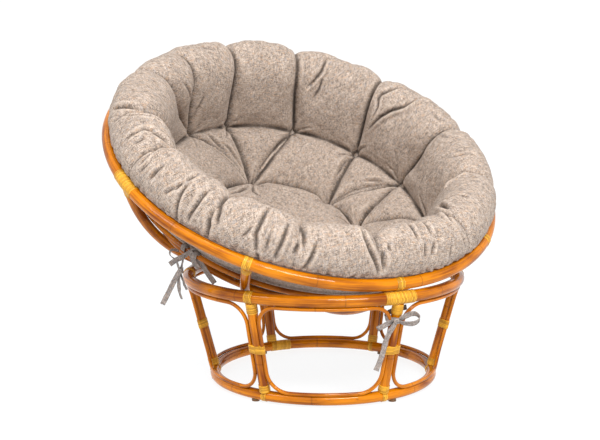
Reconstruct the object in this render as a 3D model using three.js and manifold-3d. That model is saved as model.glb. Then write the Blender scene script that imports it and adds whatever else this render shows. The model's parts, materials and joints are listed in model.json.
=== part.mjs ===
// Papasan chair: a round bowl of bent rattan poles, tilted in a drum-shaped stand of six posts between two rings,
// with a thick tufted cushion lying loose in the bowl. Millimetres, +Z up, the floor at z = 0, the bowl faces -Y.
import * as THREE from 'three';
import { mergeVertices } from 'three/addons/utils/BufferGeometryUtils.js';
import Module from 'manifold-3d';

const wasm = await Module();
wasm.setup();

// Clearance between pieces that touch, and the thickness of the rattan peel wound round the joints
const GAP = 0.3;
const PEEL = 1.0;

// Stand: two rings, six posts that lean outwards, and a thin loop in each bay between two posts
const POST_COUNT = 6;
const LOWER_RING_RADIUS = 290;
const LOWER_RING_POLE = 27;
const UPPER_RING_RADIUS = 358.5;
const UPPER_RING_POLE = 30;
const RING_SPACING = 260.4;
const POST_POLE = 26;
const LOOP_POLE = 9.5;
const LOOP_OUTSET = 6;
const LOOP_CORNER = 52;
const GLIDE_HEIGHT = 4.5;
const GLIDE_DIAMETER = 20;
const GLIDE_CUP = 4;
const GLIDE_CLEARANCE = 13.4;

// Bowl: a thick rim, ribs that lie on a sphere through the rim, and hoops nailed inside the ribs
const RIM_RADIUS = 530;
const RIM_DROP = 226;
const RIM_POLE = 31;
const RIB_POLE = 25;
const UPPER_HOOP_POLE = 13;
const LOWER_HOOP_POLE = 17;
const BOTTOM_HOOP_POLE = 17;

// Bindings: lengths along the pole that each one covers
const RIM_STRAP_WIDTH = 21;
const RIM_SPLICE_WIDTH = 86;
const RIB_WRAP_LENGTH = 20;
const TOP_STRAP_WIDTH = 22;
const TOP_SPLICE_WIDTH = 84;
const TOP_WRAP_LENGTH = 26;
const MIDDLE_WRAP_LENGTH = 22;
const BOTTOM_STRAP_WIDTH = 14;
const BOTTOM_SPLICE_WIDTH = 62;
const BOTTOM_WRAP_LENGTH = 19;

// Cushion ties: flat ribbons of the cushion's cloth
const TIE_WIDTH = 13;
const TIE_THICKNESS = 1.6;
const TIE_KNOT = 4;
const TIE_REACH = 145;
const TIE_CLEARANCE = 28.5;

// Azimuths of the ribs in degrees, from the bowl's lowest point round by the left side
const RIB_ANGLES = { left_front: 41, left: 84, left_back: 132, right_front: -41, right: -84, right_back: -132 };

// Where the hoops and the ribs' feet are, as shares of the arc from the bowl's middle to its rim
const UPPER_HOOP_SHARE = 0.797;
const LOWER_HOOP_SHARE = 0.6617;
const BOTTOM_HOOP_SHARE = 0.158;
const RIB_FOOT_SHARE = 0.128;
const RIB_STEP_SHARE = 0.113;

const GLIDE_SIDES = [1, -1, -1, 1, 1, -1];
const POST_NAMES = ['front', 'right_front', 'right_back', 'back', 'left_back', 'left_front'];
const BAY_NAMES = ['right_front', 'right', 'back_right', 'back_left', 'left', 'left_front'];

// Facets round a pole and along a ring
const POLE_SIDES = 10;
const THIN_SIDES = 6;
const RING_STEPS = 48;
const SMALL_RING_STEPS = 24;
const CORNER_STEPS = 3;
const RUN_STEPS = 4;

const rad = THREE.MathUtils.degToRad;
const strap = GAP + PEEL;

const ribSphereRadius = Math.hypot(RIM_RADIUS, RIM_DROP);
const rimPolar = Math.atan2(RIM_RADIUS, RIM_DROP);
const upperHoopPolar = UPPER_HOOP_SHARE * rimPolar;
const lowerHoopPolar = LOWER_HOOP_SHARE * rimPolar;
const bottomHoopPolar = BOTTOM_HOOP_SHARE * rimPolar;

// Heights of the stand and the way the bowl sits in it: the ribs' sphere rests in the upper ring, and the rim's
// front rests on the ring's front, which sets the tilt.
const lowerRingHeight = GLIDE_HEIGHT + LOWER_RING_POLE / 2;
const upperRingHeight = lowerRingHeight + RING_SPACING;
const seatReach = ribSphereRadius + RIB_POLE / 2 + GAP + strap + UPPER_RING_POLE / 2;
const bowlHeight = upperRingHeight + Math.sqrt(seatReach ** 2 - UPPER_RING_RADIUS ** 2);
const stopDistance = RIM_POLE / 2 + strap + GAP + strap + UPPER_RING_POLE / 2;
const stopCosine = (seatReach ** 2 + ribSphereRadius ** 2 - stopDistance ** 2) / (2 * seatReach * ribSphereRadius);
const tilt = rimPolar - Math.asin(UPPER_RING_RADIUS / seatReach) - Math.acos(stopCosine);

const lacquer = { roughness: 0.28, metalness: 0 };
const materials = {
  pole: new THREE.MeshStandardMaterial({ color: 0xc47a2c, ...lacquer }),
  rim: new THREE.MeshStandardMaterial({ color: 0xcd8228, ...lacquer }),
  thin: new THREE.MeshStandardMaterial({ color: 0xb96f2c, ...lacquer }),
  peel: new THREE.MeshStandardMaterial({ color: 0xdba63c, roughness: 0.4, metalness: 0 }),
  glide: new THREE.MeshStandardMaterial({ color: 0x4a3a30, roughness: 0.6, metalness: 0 }),
  cloth: new THREE.MeshStandardMaterial({ color: 0xb3a394, roughness: 0.95, metalness: 0 }),
  tie: new THREE.MeshStandardMaterial({ color: 0x8f857c, roughness: 0.95, metalness: 0 }),
};

// Booleans

function solidOf(geometry) {
  const bare = geometry.clone();
  bare.deleteAttribute('normal');
  bare.deleteAttribute('uv');
  const merged = mergeVertices(bare);
  return new wasm.Manifold(new wasm.Mesh({
    numProp: 3,
    vertProperties: new Float32Array(merged.attributes.position.array),
    triVerts: new Uint32Array(merged.index.array),
  }));
}

function geometryOf(solid) {
  const mesh = solid.getMesh();
  const geometry = new THREE.BufferGeometry();
  geometry.setAttribute('position', new THREE.BufferAttribute(new Float32Array(mesh.vertProperties), 3));
  geometry.setIndex(new THREE.BufferAttribute(new Uint32Array(mesh.triVerts), 1));
  geometry.computeVertexNormals();
  return geometry;
}

function joined(geometries) {
  return geometries.map(solidOf).reduce((whole, piece) => whole.add(piece));
}

function cut(solid, cutters) {
  return cutters.map(solidOf).reduce((rest, cutter) => rest.subtract(cutter), solid);
}

// Poles: each builder takes how much to grow the pole, for the clearance and the wrap laid over it

function ring(radius, height, pole, grow, sides = POLE_SIDES, steps = RING_STEPS) {
  const geometry = new THREE.TorusGeometry(radius, pole / 2 + grow, sides, steps);
  return geometry.rotateZ(Math.PI / steps).translate(0, 0, height);
}

function rod(start, end, radius) {
  const axis = new THREE.Vector3().subVectors(end, start);
  const middle = new THREE.Vector3().addVectors(start, end).multiplyScalar(1 / 2);
  const turn = new THREE.Quaternion().setFromUnitVectors(new THREE.Vector3(0, 1, 0), axis.clone().normalize());
  const geometry = new THREE.CylinderGeometry(radius, radius, axis.length(), POLE_SIDES);
  return geometry.applyQuaternion(turn).translate(middle.x, middle.y, middle.z);
}

const lowerRing = (grow) => ring(LOWER_RING_RADIUS, lowerRingHeight, LOWER_RING_POLE, grow);
const upperRing = (grow) => ring(UPPER_RING_RADIUS, upperRingHeight, UPPER_RING_POLE, grow);

// A point of the post in the +X direction, from its foot at share 0 to its top at share 1
function postPoint(share) {
  const radius = THREE.MathUtils.lerp(LOWER_RING_RADIUS, UPPER_RING_RADIUS, share);
  return new THREE.Vector3(radius, 0, lowerRingHeight + share * RING_SPACING);
}

const postRise = new THREE.Vector3().subVectors(postPoint(1), postPoint(0));
const postLength = postRise.length();
const postDirection = postRise.clone().normalize();
const postPole = (grow, from = 0, to = 1) => rod(postPoint(from), postPoint(to), POST_POLE / 2 + grow);

// Loops in the bays: a rounded frame that lies under the upper ring, on the lower ring and along both posts

// How far along the post, as a share of it, a loop pole lies that touches a ring from inside the stand
function seatShare(distance, outset) {
  const spread = UPPER_RING_RADIUS - LOWER_RING_RADIUS;
  const reach = outset ** 2 * spread ** 2 - postLength ** 2 * (outset ** 2 - distance ** 2);
  return (Math.sqrt(reach) - outset * spread) / postLength ** 2;
}

const loopLow = seatShare((LOWER_RING_POLE + LOOP_POLE) / 2 + GAP, LOOP_OUTSET);
const loopHigh = 1 - seatShare((UPPER_RING_POLE + LOOP_POLE) / 2 + GAP, -LOOP_OUTSET);
const postLean = Math.atan2(UPPER_RING_RADIUS - LOWER_RING_RADIUS, RING_SPACING);
const loopOutsetSquare = LOOP_OUTSET * Math.cos(postLean);
const loopAside = Math.sqrt(((POST_POLE + LOOP_POLE) / 2 + GAP) ** 2 - loopOutsetSquare ** 2);

// A point of the bay that is centred on +X: sideways is an arc length, share is the height along the posts
function bayPoint(sideways, share) {
  const radius = postPoint(share).x + LOOP_OUTSET;
  const angle = sideways / radius;
  return new THREE.Vector3(radius * Math.cos(angle), radius * Math.sin(angle), postPoint(share).z);
}

function bayHalfWidth(share) {
  return (postPoint(share).x + LOOP_OUTSET) * Math.PI / POST_COUNT - loopAside;
}

function loopPath() {
  const points = [];
  const cornerShare = LOOP_CORNER / postLength;
  const corners = [
    { side: 1, level: loopLow, up: 1 },
    { side: 1, level: loopHigh, up: -1 },
    { side: -1, level: loopHigh, up: -1 },
    { side: -1, level: loopLow, up: 1 },
  ];
  corners.forEach((corner, index) => {
    const centre = corner.level + corner.up * cornerShare;
    for (let step = 0; step <= CORNER_STEPS; step += 1) {
      const angle = (index - 1 + step / CORNER_STEPS) * Math.PI / 2;
      const share = centre + cornerShare * Math.sin(angle);
      const inset = LOOP_CORNER - corner.side * LOOP_CORNER * Math.cos(angle);
      points.push(bayPoint(corner.side * (bayHalfWidth(share) - inset), share));
    }
    const isRun = index % 2 === 1;
    const steps = isRun ? RUN_STEPS : 1;
    const next = corners[(index + 1) % corners.length];
    for (let step = 1; step < steps; step += 1) {
      const half = bayHalfWidth(corner.level) - LOOP_CORNER;
      points.push(bayPoint(half * (corner.side + (next.side - corner.side) * step / steps), corner.level));
    }
  });
  return points;
}

// A tube along a path, with one corner of its section held towards the outward direction at each point
function tube(points, outward, radius, sides, isClosed) {
  const positions = [];
  const indices = [];
  const count = points.length;
  points.forEach((point, index) => {
    const before = isClosed ? points[(index + count - 1) % count] : points[Math.max(index - 1, 0)];
    const after = isClosed ? points[(index + 1) % count] : points[Math.min(index + 1, count - 1)];
    const along = new THREE.Vector3().subVectors(after, before).normalize();
    const across = new THREE.Vector3().crossVectors(along, outward(point)).normalize();
    const normal = new THREE.Vector3().crossVectors(across, along);
    for (let side = 0; side < sides; side += 1) {
      const angle = 2 * Math.PI * side / sides;
      const place = point.clone().addScaledVector(normal, radius * Math.cos(angle));
      place.addScaledVector(across, radius * Math.sin(angle));
      positions.push(place.x, place.y, place.z);
      const next = (side + 1) % sides;
      const here = index * sides;
      const there = ((index + 1) % count) * sides;
      if (isClosed || index < count - 1) {
        indices.push(here + side, here + next, there + next, here + side, there + next, there + side);
      }
    }
  });
  if (!isClosed) {
    const last = (count - 1) * sides;
    for (let side = 1; side < sides - 1; side += 1) {
      indices.push(0, side + 1, side, last, last + side, last + side + 1);
    }
  }
  const geometry = new THREE.BufferGeometry();
  geometry.setAttribute('position', new THREE.Float32BufferAttribute(positions, 3));
  geometry.setIndex(indices);
  geometry.computeVertexNormals();
  return geometry;
}

const awayFromAxis = (point) => new THREE.Vector3(point.x, point.y, 0).normalize();
const awayFromCentre = (point) => point.clone().normalize();

const halfBay = Math.PI / POST_COUNT;
const loopPole = (grow) => tube(loopPath(), awayFromAxis, LOOP_POLE / 2 + grow, THIN_SIDES, true);
const loopsAtPost = (grow) => [loopPole(grow).rotateZ(halfBay), loopPole(grow).rotateZ(-halfBay)];

// Bindings of the stand

// A block round a stretch of a ring at the +X direction, from one arc length to another
function ringStretch(radius, height, pole, from, to) {
  const depth = 2 * pole;
  const block = new THREE.BoxGeometry(depth, to - from, depth);
  return block.translate(radius, (from + to) / 2, height);
}

function ringStrap(radius, height, pole, from, to) {
  const cover = solidOf(ring(radius, height, pole, strap));
  return cover.intersect(solidOf(ringStretch(radius, height, pole, from, to)));
}

function topBinding(width) {
  const strapRound = ringStrap(UPPER_RING_RADIUS, upperRingHeight, UPPER_RING_POLE, -width / 2, width / 2);
  const low = 1 - (UPPER_RING_POLE / 2 + TOP_WRAP_LENGTH) / postLength;
  const cover = strapRound.add(solidOf(postPole(strap, low, 1)));
  return geometryOf(cut(cover, [upperRing(GAP), postPole(GAP), ...loopsAtPost(GAP)]));
}

function bottomBinding(from, to) {
  const strapRound = ringStrap(LOWER_RING_RADIUS, lowerRingHeight, LOWER_RING_POLE, from, to);
  const high = (LOWER_RING_POLE / 2 + BOTTOM_WRAP_LENGTH) / postLength;
  const cover = strapRound.add(solidOf(postPole(strap, 0, high)));
  return geometryOf(cut(cover, [lowerRing(GAP), postPole(GAP), ...loopsAtPost(GAP)]));
}

// The outline round a post and the two loop poles beside it, grown by a clearance, as points in the plane
// square to the post: x is the tangent of the ring, y points out of the stand
function clusterOutline(grow) {
  const half = Math.PI / POLE_SIDES;
  const circles = [
    { x: 0, y: 0, radius: POST_POLE / 2 },
    { x: loopAside, y: loopOutsetSquare, radius: LOOP_POLE / 2 },
    { x: -loopAside, y: loopOutsetSquare, radius: LOOP_POLE / 2 },
  ];
  const cloud = circles.flatMap((circle) => {
    const reach = (circle.radius + grow) / Math.cos(half);
    return Array.from({ length: POLE_SIDES }, (_, side) => {
      const angle = 2 * half * (side + 1 / 2);
      return new THREE.Vector2(circle.x + reach * Math.cos(angle), circle.y + reach * Math.sin(angle));
    });
  });
  return hull(cloud);
}

// The convex outline of a cloud of points, anticlockwise
function hull(cloud) {
  const sorted = [...cloud].sort((a, b) => a.x - b.x || a.y - b.y);
  const turn = (o, a, b) => (a.x - o.x) * (b.y - o.y) - (a.y - o.y) * (b.x - o.x);
  const chain = (points) => points.reduce((line, point) => {
    while (line.length > 1 && turn(line.at(-2), line.at(-1), point) <= 0) {
      line.pop();
    }
    line.push(point);
    return line;
  }, []).slice(0, -1);
  return [...chain(sorted), ...chain(sorted.reverse())];
}

// A band round the cluster, centred on a share of the post's height
function clusterBand(share, length, inner, outer) {
  const shape = new THREE.Shape(clusterOutline(outer));
  shape.holes.push(new THREE.Path(clusterOutline(inner).reverse()));
  const band = new THREE.ExtrudeGeometry(shape, { depth: length, bevelEnabled: false });
  const tangent = new THREE.Vector3(0, -1, 0);
  const out = new THREE.Vector3().crossVectors(postDirection, tangent);
  const place = new THREE.Matrix4().makeBasis(tangent, out, postDirection);
  const centre = postPoint(share).addScaledVector(postDirection, -length / 2);
  return band.applyMatrix4(place.setPosition(centre));
}

// Bowl, in its own frame: the origin is the centre of the ribs' sphere and the axis is Z

const rim = (grow) => ring(RIM_RADIUS, -RIM_DROP, RIM_POLE, grow);

// A rib in the plane of +X through a list of angles from the bowl's axis, which holds those of the hoops it touches
function rib(grow, polars) {
  const points = polars.map((polar) => new THREE.Vector3(
    ribSphereRadius * Math.sin(polar),
    0,
    -ribSphereRadius * Math.cos(polar),
  ));
  return tube(points, awayFromCentre, RIB_POLE / 2 + grow, POLE_SIDES, false);
}

function steppedPolars(marks) {
  return marks.flatMap((mark, index) => {
    const from = index > 0 ? marks[index - 1] : mark;
    const steps = Math.max(Math.ceil((mark - from) / (RIB_STEP_SHARE * rimPolar)), 1);
    return Array.from({ length: steps }, (_, step) => THREE.MathUtils.lerp(from, mark, (step + 1) / steps));
  });
}

const wrapReach = RIM_POLE / 2 + RIB_WRAP_LENGTH;
const wrapPolar = rimPolar - wrapReach / ribSphereRadius;
const touchedPolars = [bottomHoopPolar, lowerHoopPolar, upperHoopPolar, wrapPolar, rimPolar];
const halfRibPolars = steppedPolars([RIB_FOOT_SHARE * rimPolar, ...touchedPolars]);
const spinePolars = steppedPolars([...touchedPolars.map((polar) => -polar).reverse(), ...touchedPolars]);

function hoop(polar, pole, grow = 0, steps = RING_STEPS) {
  const reach = ribSphereRadius - RIB_POLE / 2 - GAP - pole / 2;
  return ring(reach * Math.sin(polar), -reach * Math.cos(polar), pole, grow, THIN_SIDES, steps);
}

// Azimuths run from the lowest point of the bowl, at -Y, round by the left side, at -X
const azimuthTurn = (azimuth) => -Math.PI / 2 - rad(azimuth);

function halfRib(azimuth) {
  const body = solidOf(rib(0, halfRibPolars));
  return geometryOf(cut(body, [rim(GAP).rotateZ(-azimuthTurn(azimuth))]));
}

function spineRib() {
  const body = solidOf(rib(0, spinePolars));
  return geometryOf(cut(body, [rim(GAP).rotateZ(-azimuthTurn(0))]));
}

function rimBinding(azimuth, width, wrapsRib) {
  const turn = -azimuthTurn(azimuth);
  const block = ringStretch(RIM_RADIUS, -RIM_DROP, RIM_POLE, -width / 2, width / 2);
  let cover = solidOf(rim(strap).rotateZ(turn)).intersect(solidOf(block));
  if (wrapsRib) {
    cover = cover.add(solidOf(rib(strap, [wrapPolar, rimPolar])));
  }
  return geometryOf(cut(cover, [rim(GAP).rotateZ(turn), rib(GAP, halfRibPolars)]));
}

// Cushion: shares of the rim's radius, out from the bowl's axis and up from the rim's plane, from the middle of the
// top, over the outer roll, to the seam that lies on the rim. Each row has the crest of a panel and its sewn crease.
const CUSHION_TOP_SHARES = [
  { crest: [0.185, -0.384], crease: [0.185, -0.388], creases: 3 },
  { crest: [0.29, -0.357], crease: [0.305, -0.378], creases: 3 },
  { crest: [0.418, -0.388], crease: [0.451, -0.452], creases: 3 },
  { crest: [0.467, -0.3], crease: [0.496, -0.34], creases: 3 },
  { crest: [0.568, -0.239], crease: [0.585, -0.262], creases: 6 },
  { crest: [0.692, -0.199], crease: [0.748, -0.238], creases: 6 },
  { crest: [0.685, -0.137], crease: [0.731, -0.149], creases: 6 },
  { crest: [0.694, -0.073], crease: [0.735, -0.079], creases: 6 },
  { crest: [0.702, 0.006], crease: [0.745, 0.001], creases: 6 },
  { crest: [0.725, 0.103], crease: [0.765, 0.088], creases: 6 },
  { crest: [0.781, 0.187], crease: [0.81, 0.156], creases: 6 },
  { crest: [0.873, 0.218], crease: [0.872, 0.182], creases: 6 },
  { crest: [0.953, 0.189], crease: [0.938, 0.165], creases: 6 },
  { crest: [0.998, 0.127], crease: [0.981, 0.116], creases: 6 },
  { crest: [1.007, 0.073], crease: [0.995, 0.068], creases: 6 },
  { crest: [0.989, 0.036], crease: [0.989, 0.036], creases: 6 },
  { crest: [0.953, 0.017], crease: [0.953, 0.017], creases: 6 },
];
const CUSHION_MIDDLE_SHARE = -0.396;
const CUSHION_UNDER_SHARES = [0.962, 0.812, 0.617, 0.406, 0.195];
const CUSHION_STEPS = 48;
const CUSHION_TURN_ANGLE = 178;
const CREASE_SHARPNESS = 0.6;

function cushionRow(row, angle) {
  const swell = Math.abs(Math.sin(row.creases * angle)) ** CREASE_SHARPNESS;
  const out = THREE.MathUtils.lerp(row.crease[0], row.crest[0], swell) * RIM_RADIUS;
  const up = THREE.MathUtils.lerp(row.crease[1], row.crest[1], swell) * RIM_RADIUS;
  return [out, up - RIM_DROP];
}

function cushionGeometry() {
  const underReach = ribSphereRadius - RIB_POLE / 2 - GAP - Math.max(LOWER_HOOP_POLE, BOTTOM_HOOP_POLE) - GAP;
  const positions = [];
  const indices = [];
  const rows = [
    ...CUSHION_TOP_SHARES.map((row) => (angle) => cushionRow(row, angle)),
    ...CUSHION_UNDER_SHARES.map((share) => () => [
      underReach * Math.sin(share * rimPolar),
      -underReach * Math.cos(share * rimPolar),
    ]),
  ];
  rows.forEach((row, level) => {
    for (let step = 0; step < CUSHION_STEPS; step += 1) {
      const angle = 2 * Math.PI * step / CUSHION_STEPS;
      const [out, up] = row(angle);
      const heading = azimuthTurn(CUSHION_TURN_ANGLE) + angle;
      positions.push(out * Math.cos(heading), out * Math.sin(heading), up);
      const next = (step + 1) % CUSHION_STEPS;
      if (level > 0) {
        const above = (level - 1) * CUSHION_STEPS;
        const below = level * CUSHION_STEPS;
        indices.push(above + step, below + step, below + next, above + step, below + next, above + next);
      }
    }
  });
  const topMiddle = rows.length * CUSHION_STEPS;
  const lowRow = topMiddle - CUSHION_STEPS;
  positions.push(0, 0, CUSHION_MIDDLE_SHARE * RIM_RADIUS - RIM_DROP, 0, 0, -underReach);
  for (let step = 0; step < CUSHION_STEPS; step += 1) {
    const next = (step + 1) % CUSHION_STEPS;
    indices.push(topMiddle, step, next, topMiddle + 1, lowRow + next, lowRow + step);
  }
  const geometry = new THREE.BufferGeometry();
  geometry.setAttribute('position', new THREE.Float32BufferAttribute(positions, 3));
  geometry.setIndex(indices);
  geometry.computeVertexNormals();
  return geometry;
}

// Ties: ribbons that hang from a knot. A strip's points are shares of the ties' reach, sideways and up.

function ribbon(knot, sideways, points) {
  const positions = [];
  const up = new THREE.Vector3(0, 0, 1);
  const places = points.map(([side, rise]) => knot.clone()
    .addScaledVector(sideways, side * TIE_REACH)
    .addScaledVector(up, rise * TIE_REACH));
  const out = new THREE.Vector3().crossVectors(sideways, up).multiplyScalar(TIE_THICKNESS / 2);
  places.forEach((place, index) => {
    const before = places[Math.max(index - 1, 0)];
    const after = places[Math.min(index + 1, places.length - 1)];
    const along = new THREE.Vector3().subVectors(after, before).normalize();
    const across = new THREE.Vector3().crossVectors(along, out).normalize().multiplyScalar(TIE_WIDTH / 2);
    [[1, 1], [-1, 1], [-1, -1], [1, -1]].forEach(([a, b]) => {
      const corner = place.clone().addScaledVector(across, a).addScaledVector(out, b);
      positions.push(corner.x, corner.y, corner.z);
    });
  });
  const indices = [0, 1, 2, 0, 2, 3];
  for (let index = 1; index < places.length; index += 1) {
    const here = 4 * index;
    for (let side = 0; side < 4; side += 1) {
      const next = (side + 1) % 4;
      indices.push(here - 4 + side, here + side, here + next, here - 4 + side, here + next, here - 4 + next);
    }
  }
  const last = positions.length / 3 - 4;
  indices.push(last, last + 2, last + 1, last, last + 3, last + 2);
  const geometry = new THREE.BufferGeometry();
  geometry.setAttribute('position', new THREE.Float32BufferAttribute(positions, 3));
  geometry.setIndex(indices);
  return geometry;
}

const LEFT_KNOT_ANGLES = [3, -6.5];
const LEFT_STRIP_SHARES = [
  { knot: 1.5, points: [[0, 0], [-0.1, -0.39], [-0.23, -0.7], [-0.37, -0.98]] },
  { knot: 0.5, points: [[0, 0], [-0.05, -0.4], [-0.07, -0.74], [-0.02, -0.9]] },
  { knot: -0.5, points: [[0, 0], [-0.12, -0.22], [-0.27, -0.32]] },
  { knot: -3.5, points: [[0, 0], [0.02, -0.1], [0.05, -0.22]] },
  { knot: -5, points: [[0, 0], [0.1, -0.13], [0.22, -0.31], [0.31, -0.38]] },
];
const FRONT_KNOT_SHARE = 0.772;
const FRONT_STRIP_SHARES = [
  { points: [[0, 0], [0.17, 0.09], [0.29, 0.13], [0.375, 0.08]] },
  { points: [[0.02, -0.02], [0.14, -0.04], [0.29, -0.06], [0.375, 0.08]] },
  { points: [[0, 0], [-0.17, -0.1], [-0.31, -0.16]] },
  { points: [[0, 0], [-0.14, -0.22], [-0.2, -0.42], [-0.24, -0.6], [-0.31, -0.83]] },
];
const TIE_FACING_ANGLE = 60.5;

const bowlPlace = new THREE.Matrix4().makeRotationX(tilt).setPosition(0, 0, bowlHeight);
const tieSideways = new THREE.Vector3(Math.sin(rad(TIE_FACING_ANGLE)), -Math.cos(rad(TIE_FACING_ANGLE)), 0);

const hoopReach = ribSphereRadius - RIB_POLE / 2 - GAP - UPPER_HOOP_POLE / 2;
const hoopRadius = hoopReach * Math.sin(upperHoopPolar);
const hoopDepth = hoopReach * Math.cos(upperHoopPolar);

// The azimuth where the upper hoop is far enough outside the upper ring for the ties to hang past it
function tieAzimuth() {
  const distance = UPPER_RING_RADIUS + UPPER_RING_POLE / 2 + TIE_CLEARANCE;
  const square = hoopRadius ** 2 * Math.sin(tilt) ** 2;
  const half = hoopRadius * hoopDepth * Math.sin(tilt) * Math.cos(tilt);
  const rest = hoopRadius ** 2 + hoopDepth ** 2 * Math.sin(tilt) ** 2 - distance ** 2;
  return Math.acos((Math.sqrt(half ** 2 + square * rest) - half) / square);
}

// A point of the upper hoop's centre-line in the chair's frame, at an angle in degrees from where the ties are
function hoopPoint(offset) {
  const heading = azimuthTurn(offset) - tieAzimuth();
  const point = new THREE.Vector3(hoopRadius * Math.cos(heading), hoopRadius * Math.sin(heading), -hoopDepth);
  return point.applyMatrix4(bowlPlace);
}

function leftTie() {
  const [from, to] = LEFT_KNOT_ANGLES.map(hoopPoint);
  const knots = rod(from, to, UPPER_HOOP_POLE / 2 + TIE_KNOT);
  const away = UPPER_HOOP_POLE / 2 + TIE_KNOT / 2;
  const front = new THREE.Vector3().crossVectors(tieSideways, new THREE.Vector3(0, 0, 1)).multiplyScalar(away);
  const strips = LEFT_STRIP_SHARES.map((strip) => ribbon(hoopPoint(strip.knot).add(front), tieSideways, strip.points));
  const ribCuts = [RIB_ANGLES.left_front, RIB_ANGLES.left].map((angle) => (
    rib(GAP, halfRibPolars).rotateZ(azimuthTurn(angle))
  ));
  const poles = [hoop(upperHoopPolar, UPPER_HOOP_POLE, GAP), ...ribCuts].map((pole) => pole.applyMatrix4(bowlPlace));
  return geometryOf(cut(joined([knots, ...strips]), poles));
}

function frontTie() {
  const wrap = clusterBand(FRONT_KNOT_SHARE, TIE_WIDTH, GAP, GAP + TIE_THICKNESS).rotateZ(-Math.PI / 2);
  const away = POST_POLE / 2 + TIE_KNOT;
  const front = new THREE.Vector3().crossVectors(tieSideways, new THREE.Vector3(0, 0, 1));
  const knot = postPoint(FRONT_KNOT_SHARE).applyAxisAngle(new THREE.Vector3(0, 0, 1), -Math.PI / 2);
  knot.addScaledVector(front, away);
  const lump = new THREE.SphereGeometry(TIE_KNOT, THIN_SIDES, THIN_SIDES).translate(knot.x, knot.y, knot.z);
  const strips = FRONT_STRIP_SHARES.map((strip) => ribbon(knot, tieSideways, strip.points));
  const clear = [postPole(GAP), ...loopsAtPost(GAP)].map((pole) => pole.rotateZ(-Math.PI / 2));
  return geometryOf(cut(joined([wrap, lump, ...strips]), clear));
}

// Assembly

const chair = new THREE.Group();
const stand = new THREE.Group();
const bowl = new THREE.Group();
bowl.position.z = bowlHeight;
bowl.rotation.x = tilt;
chair.add(stand, bowl);

function place(group, name, geometry, material, turn = 0) {
  const mesh = new THREE.Mesh(geometry, material);
  mesh.name = name;
  mesh.rotation.z = turn;
  group.add(mesh);
  return mesh;
}

const glideOffset = (BOTTOM_STRAP_WIDTH + GLIDE_DIAMETER) / 2 + GLIDE_CLEARANCE;
const glideTurn = glideOffset / LOWER_RING_RADIUS;
const postTurn = (index) => -Math.PI / 2 + 2 * halfBay * index;

function addStand() {
  place(stand, 'lower_ring', lowerRing(0), materials.rim);
  place(stand, 'upper_ring', upperRing(0), materials.rim);
  const post = geometryOf(cut(solidOf(postPole(0)), [lowerRing(GAP), upperRing(GAP)]));
  const middle = (loopLow + loopHigh) / 2;
  const band = clusterBand(middle, MIDDLE_WRAP_LENGTH, GAP, strap);
  const topNarrow = topBinding(TOP_STRAP_WIDTH);
  const topWide = topBinding(TOP_SPLICE_WIDTH);
  const bottomNarrow = bottomBinding(-BOTTOM_STRAP_WIDTH / 2, BOTTOM_STRAP_WIDTH / 2);
  const bottomWide = bottomBinding(BOTTOM_STRAP_WIDTH / 2 - BOTTOM_SPLICE_WIDTH, BOTTOM_STRAP_WIDTH / 2);
  POST_NAMES.forEach((name, index) => {
    const turn = postTurn(index);
    place(stand, `post_${name}`, post, materials.pole, turn);
    place(stand, `post_binding_middle_${name}`, band, materials.peel, turn);
    place(stand, `post_binding_top_${name}`, name === 'front' ? topWide : topNarrow, materials.peel, turn);
    place(stand, `post_binding_bottom_${name}`, name === 'back' ? bottomWide : bottomNarrow, materials.peel, turn);
    place(stand, `bay_loop_${BAY_NAMES[index]}`, loopPole(0), materials.thin, turn + halfBay);
    place(stand, `foot_glide_${name}`, glide(), materials.glide, turn + GLIDE_SIDES[index] * glideTurn);
  });
}

function glide() {
  const height = GLIDE_HEIGHT + GLIDE_CUP;
  const cup = new THREE.CylinderGeometry(GLIDE_DIAMETER / 2, GLIDE_DIAMETER / 2, height, POLE_SIDES);
  cup.rotateX(Math.PI / 2).translate(LOWER_RING_RADIUS, 0, height / 2);
  return geometryOf(cut(solidOf(cup), [lowerRing(GAP)]));
}

function addBowl() {
  place(bowl, 'bowl_rim', rim(0), materials.rim);
  place(bowl, 'bowl_hoop_upper', hoop(upperHoopPolar, UPPER_HOOP_POLE), materials.thin);
  place(bowl, 'bowl_hoop_lower', hoop(lowerHoopPolar, LOWER_HOOP_POLE), materials.thin);
  place(bowl, 'bowl_hoop_bottom', hoop(bottomHoopPolar, BOTTOM_HOOP_POLE, 0, SMALL_RING_STEPS), materials.thin);
  place(bowl, 'bowl_rib_spine', spineRib(), materials.pole, azimuthTurn(0));
  Object.entries(RIB_ANGLES).forEach(([name, azimuth]) => {
    const width = name === 'left' ? RIM_SPLICE_WIDTH : RIM_STRAP_WIDTH;
    const turn = azimuthTurn(azimuth);
    place(bowl, `bowl_rib_${name}`, halfRib(azimuth), materials.pole, turn);
    place(bowl, `rim_binding_${name}`, rimBinding(azimuth, width, true), materials.peel, turn);
  });
  place(bowl, 'rim_binding_front', rimBinding(0, RIM_STRAP_WIDTH, false), materials.peel, azimuthTurn(0));
  place(bowl, 'rim_binding_back', rimBinding(180, RIM_STRAP_WIDTH, true), materials.peel, azimuthTurn(180));
}

addStand();
addBowl();
place(bowl, 'seat_cushion', cushionGeometry(), materials.cloth);
place(stand, 'cushion_tie_left', leftTie(), materials.tie);
place(stand, 'cushion_tie_front', frontTie(), materials.tie);

// The origin is on the floor, below the middle of the whole chair
const bounds = new THREE.Box3().setFromObject(chair, true);
const middle = bounds.getCenter(new THREE.Vector3());
chair.position.set(-middle.x, -middle.y, -bounds.min.z);

export default chair;
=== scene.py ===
"""Papasan chair: a rattan bowl tilted in a drum-shaped stand, with a tufted cushion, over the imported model"""
import json
import math

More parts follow.
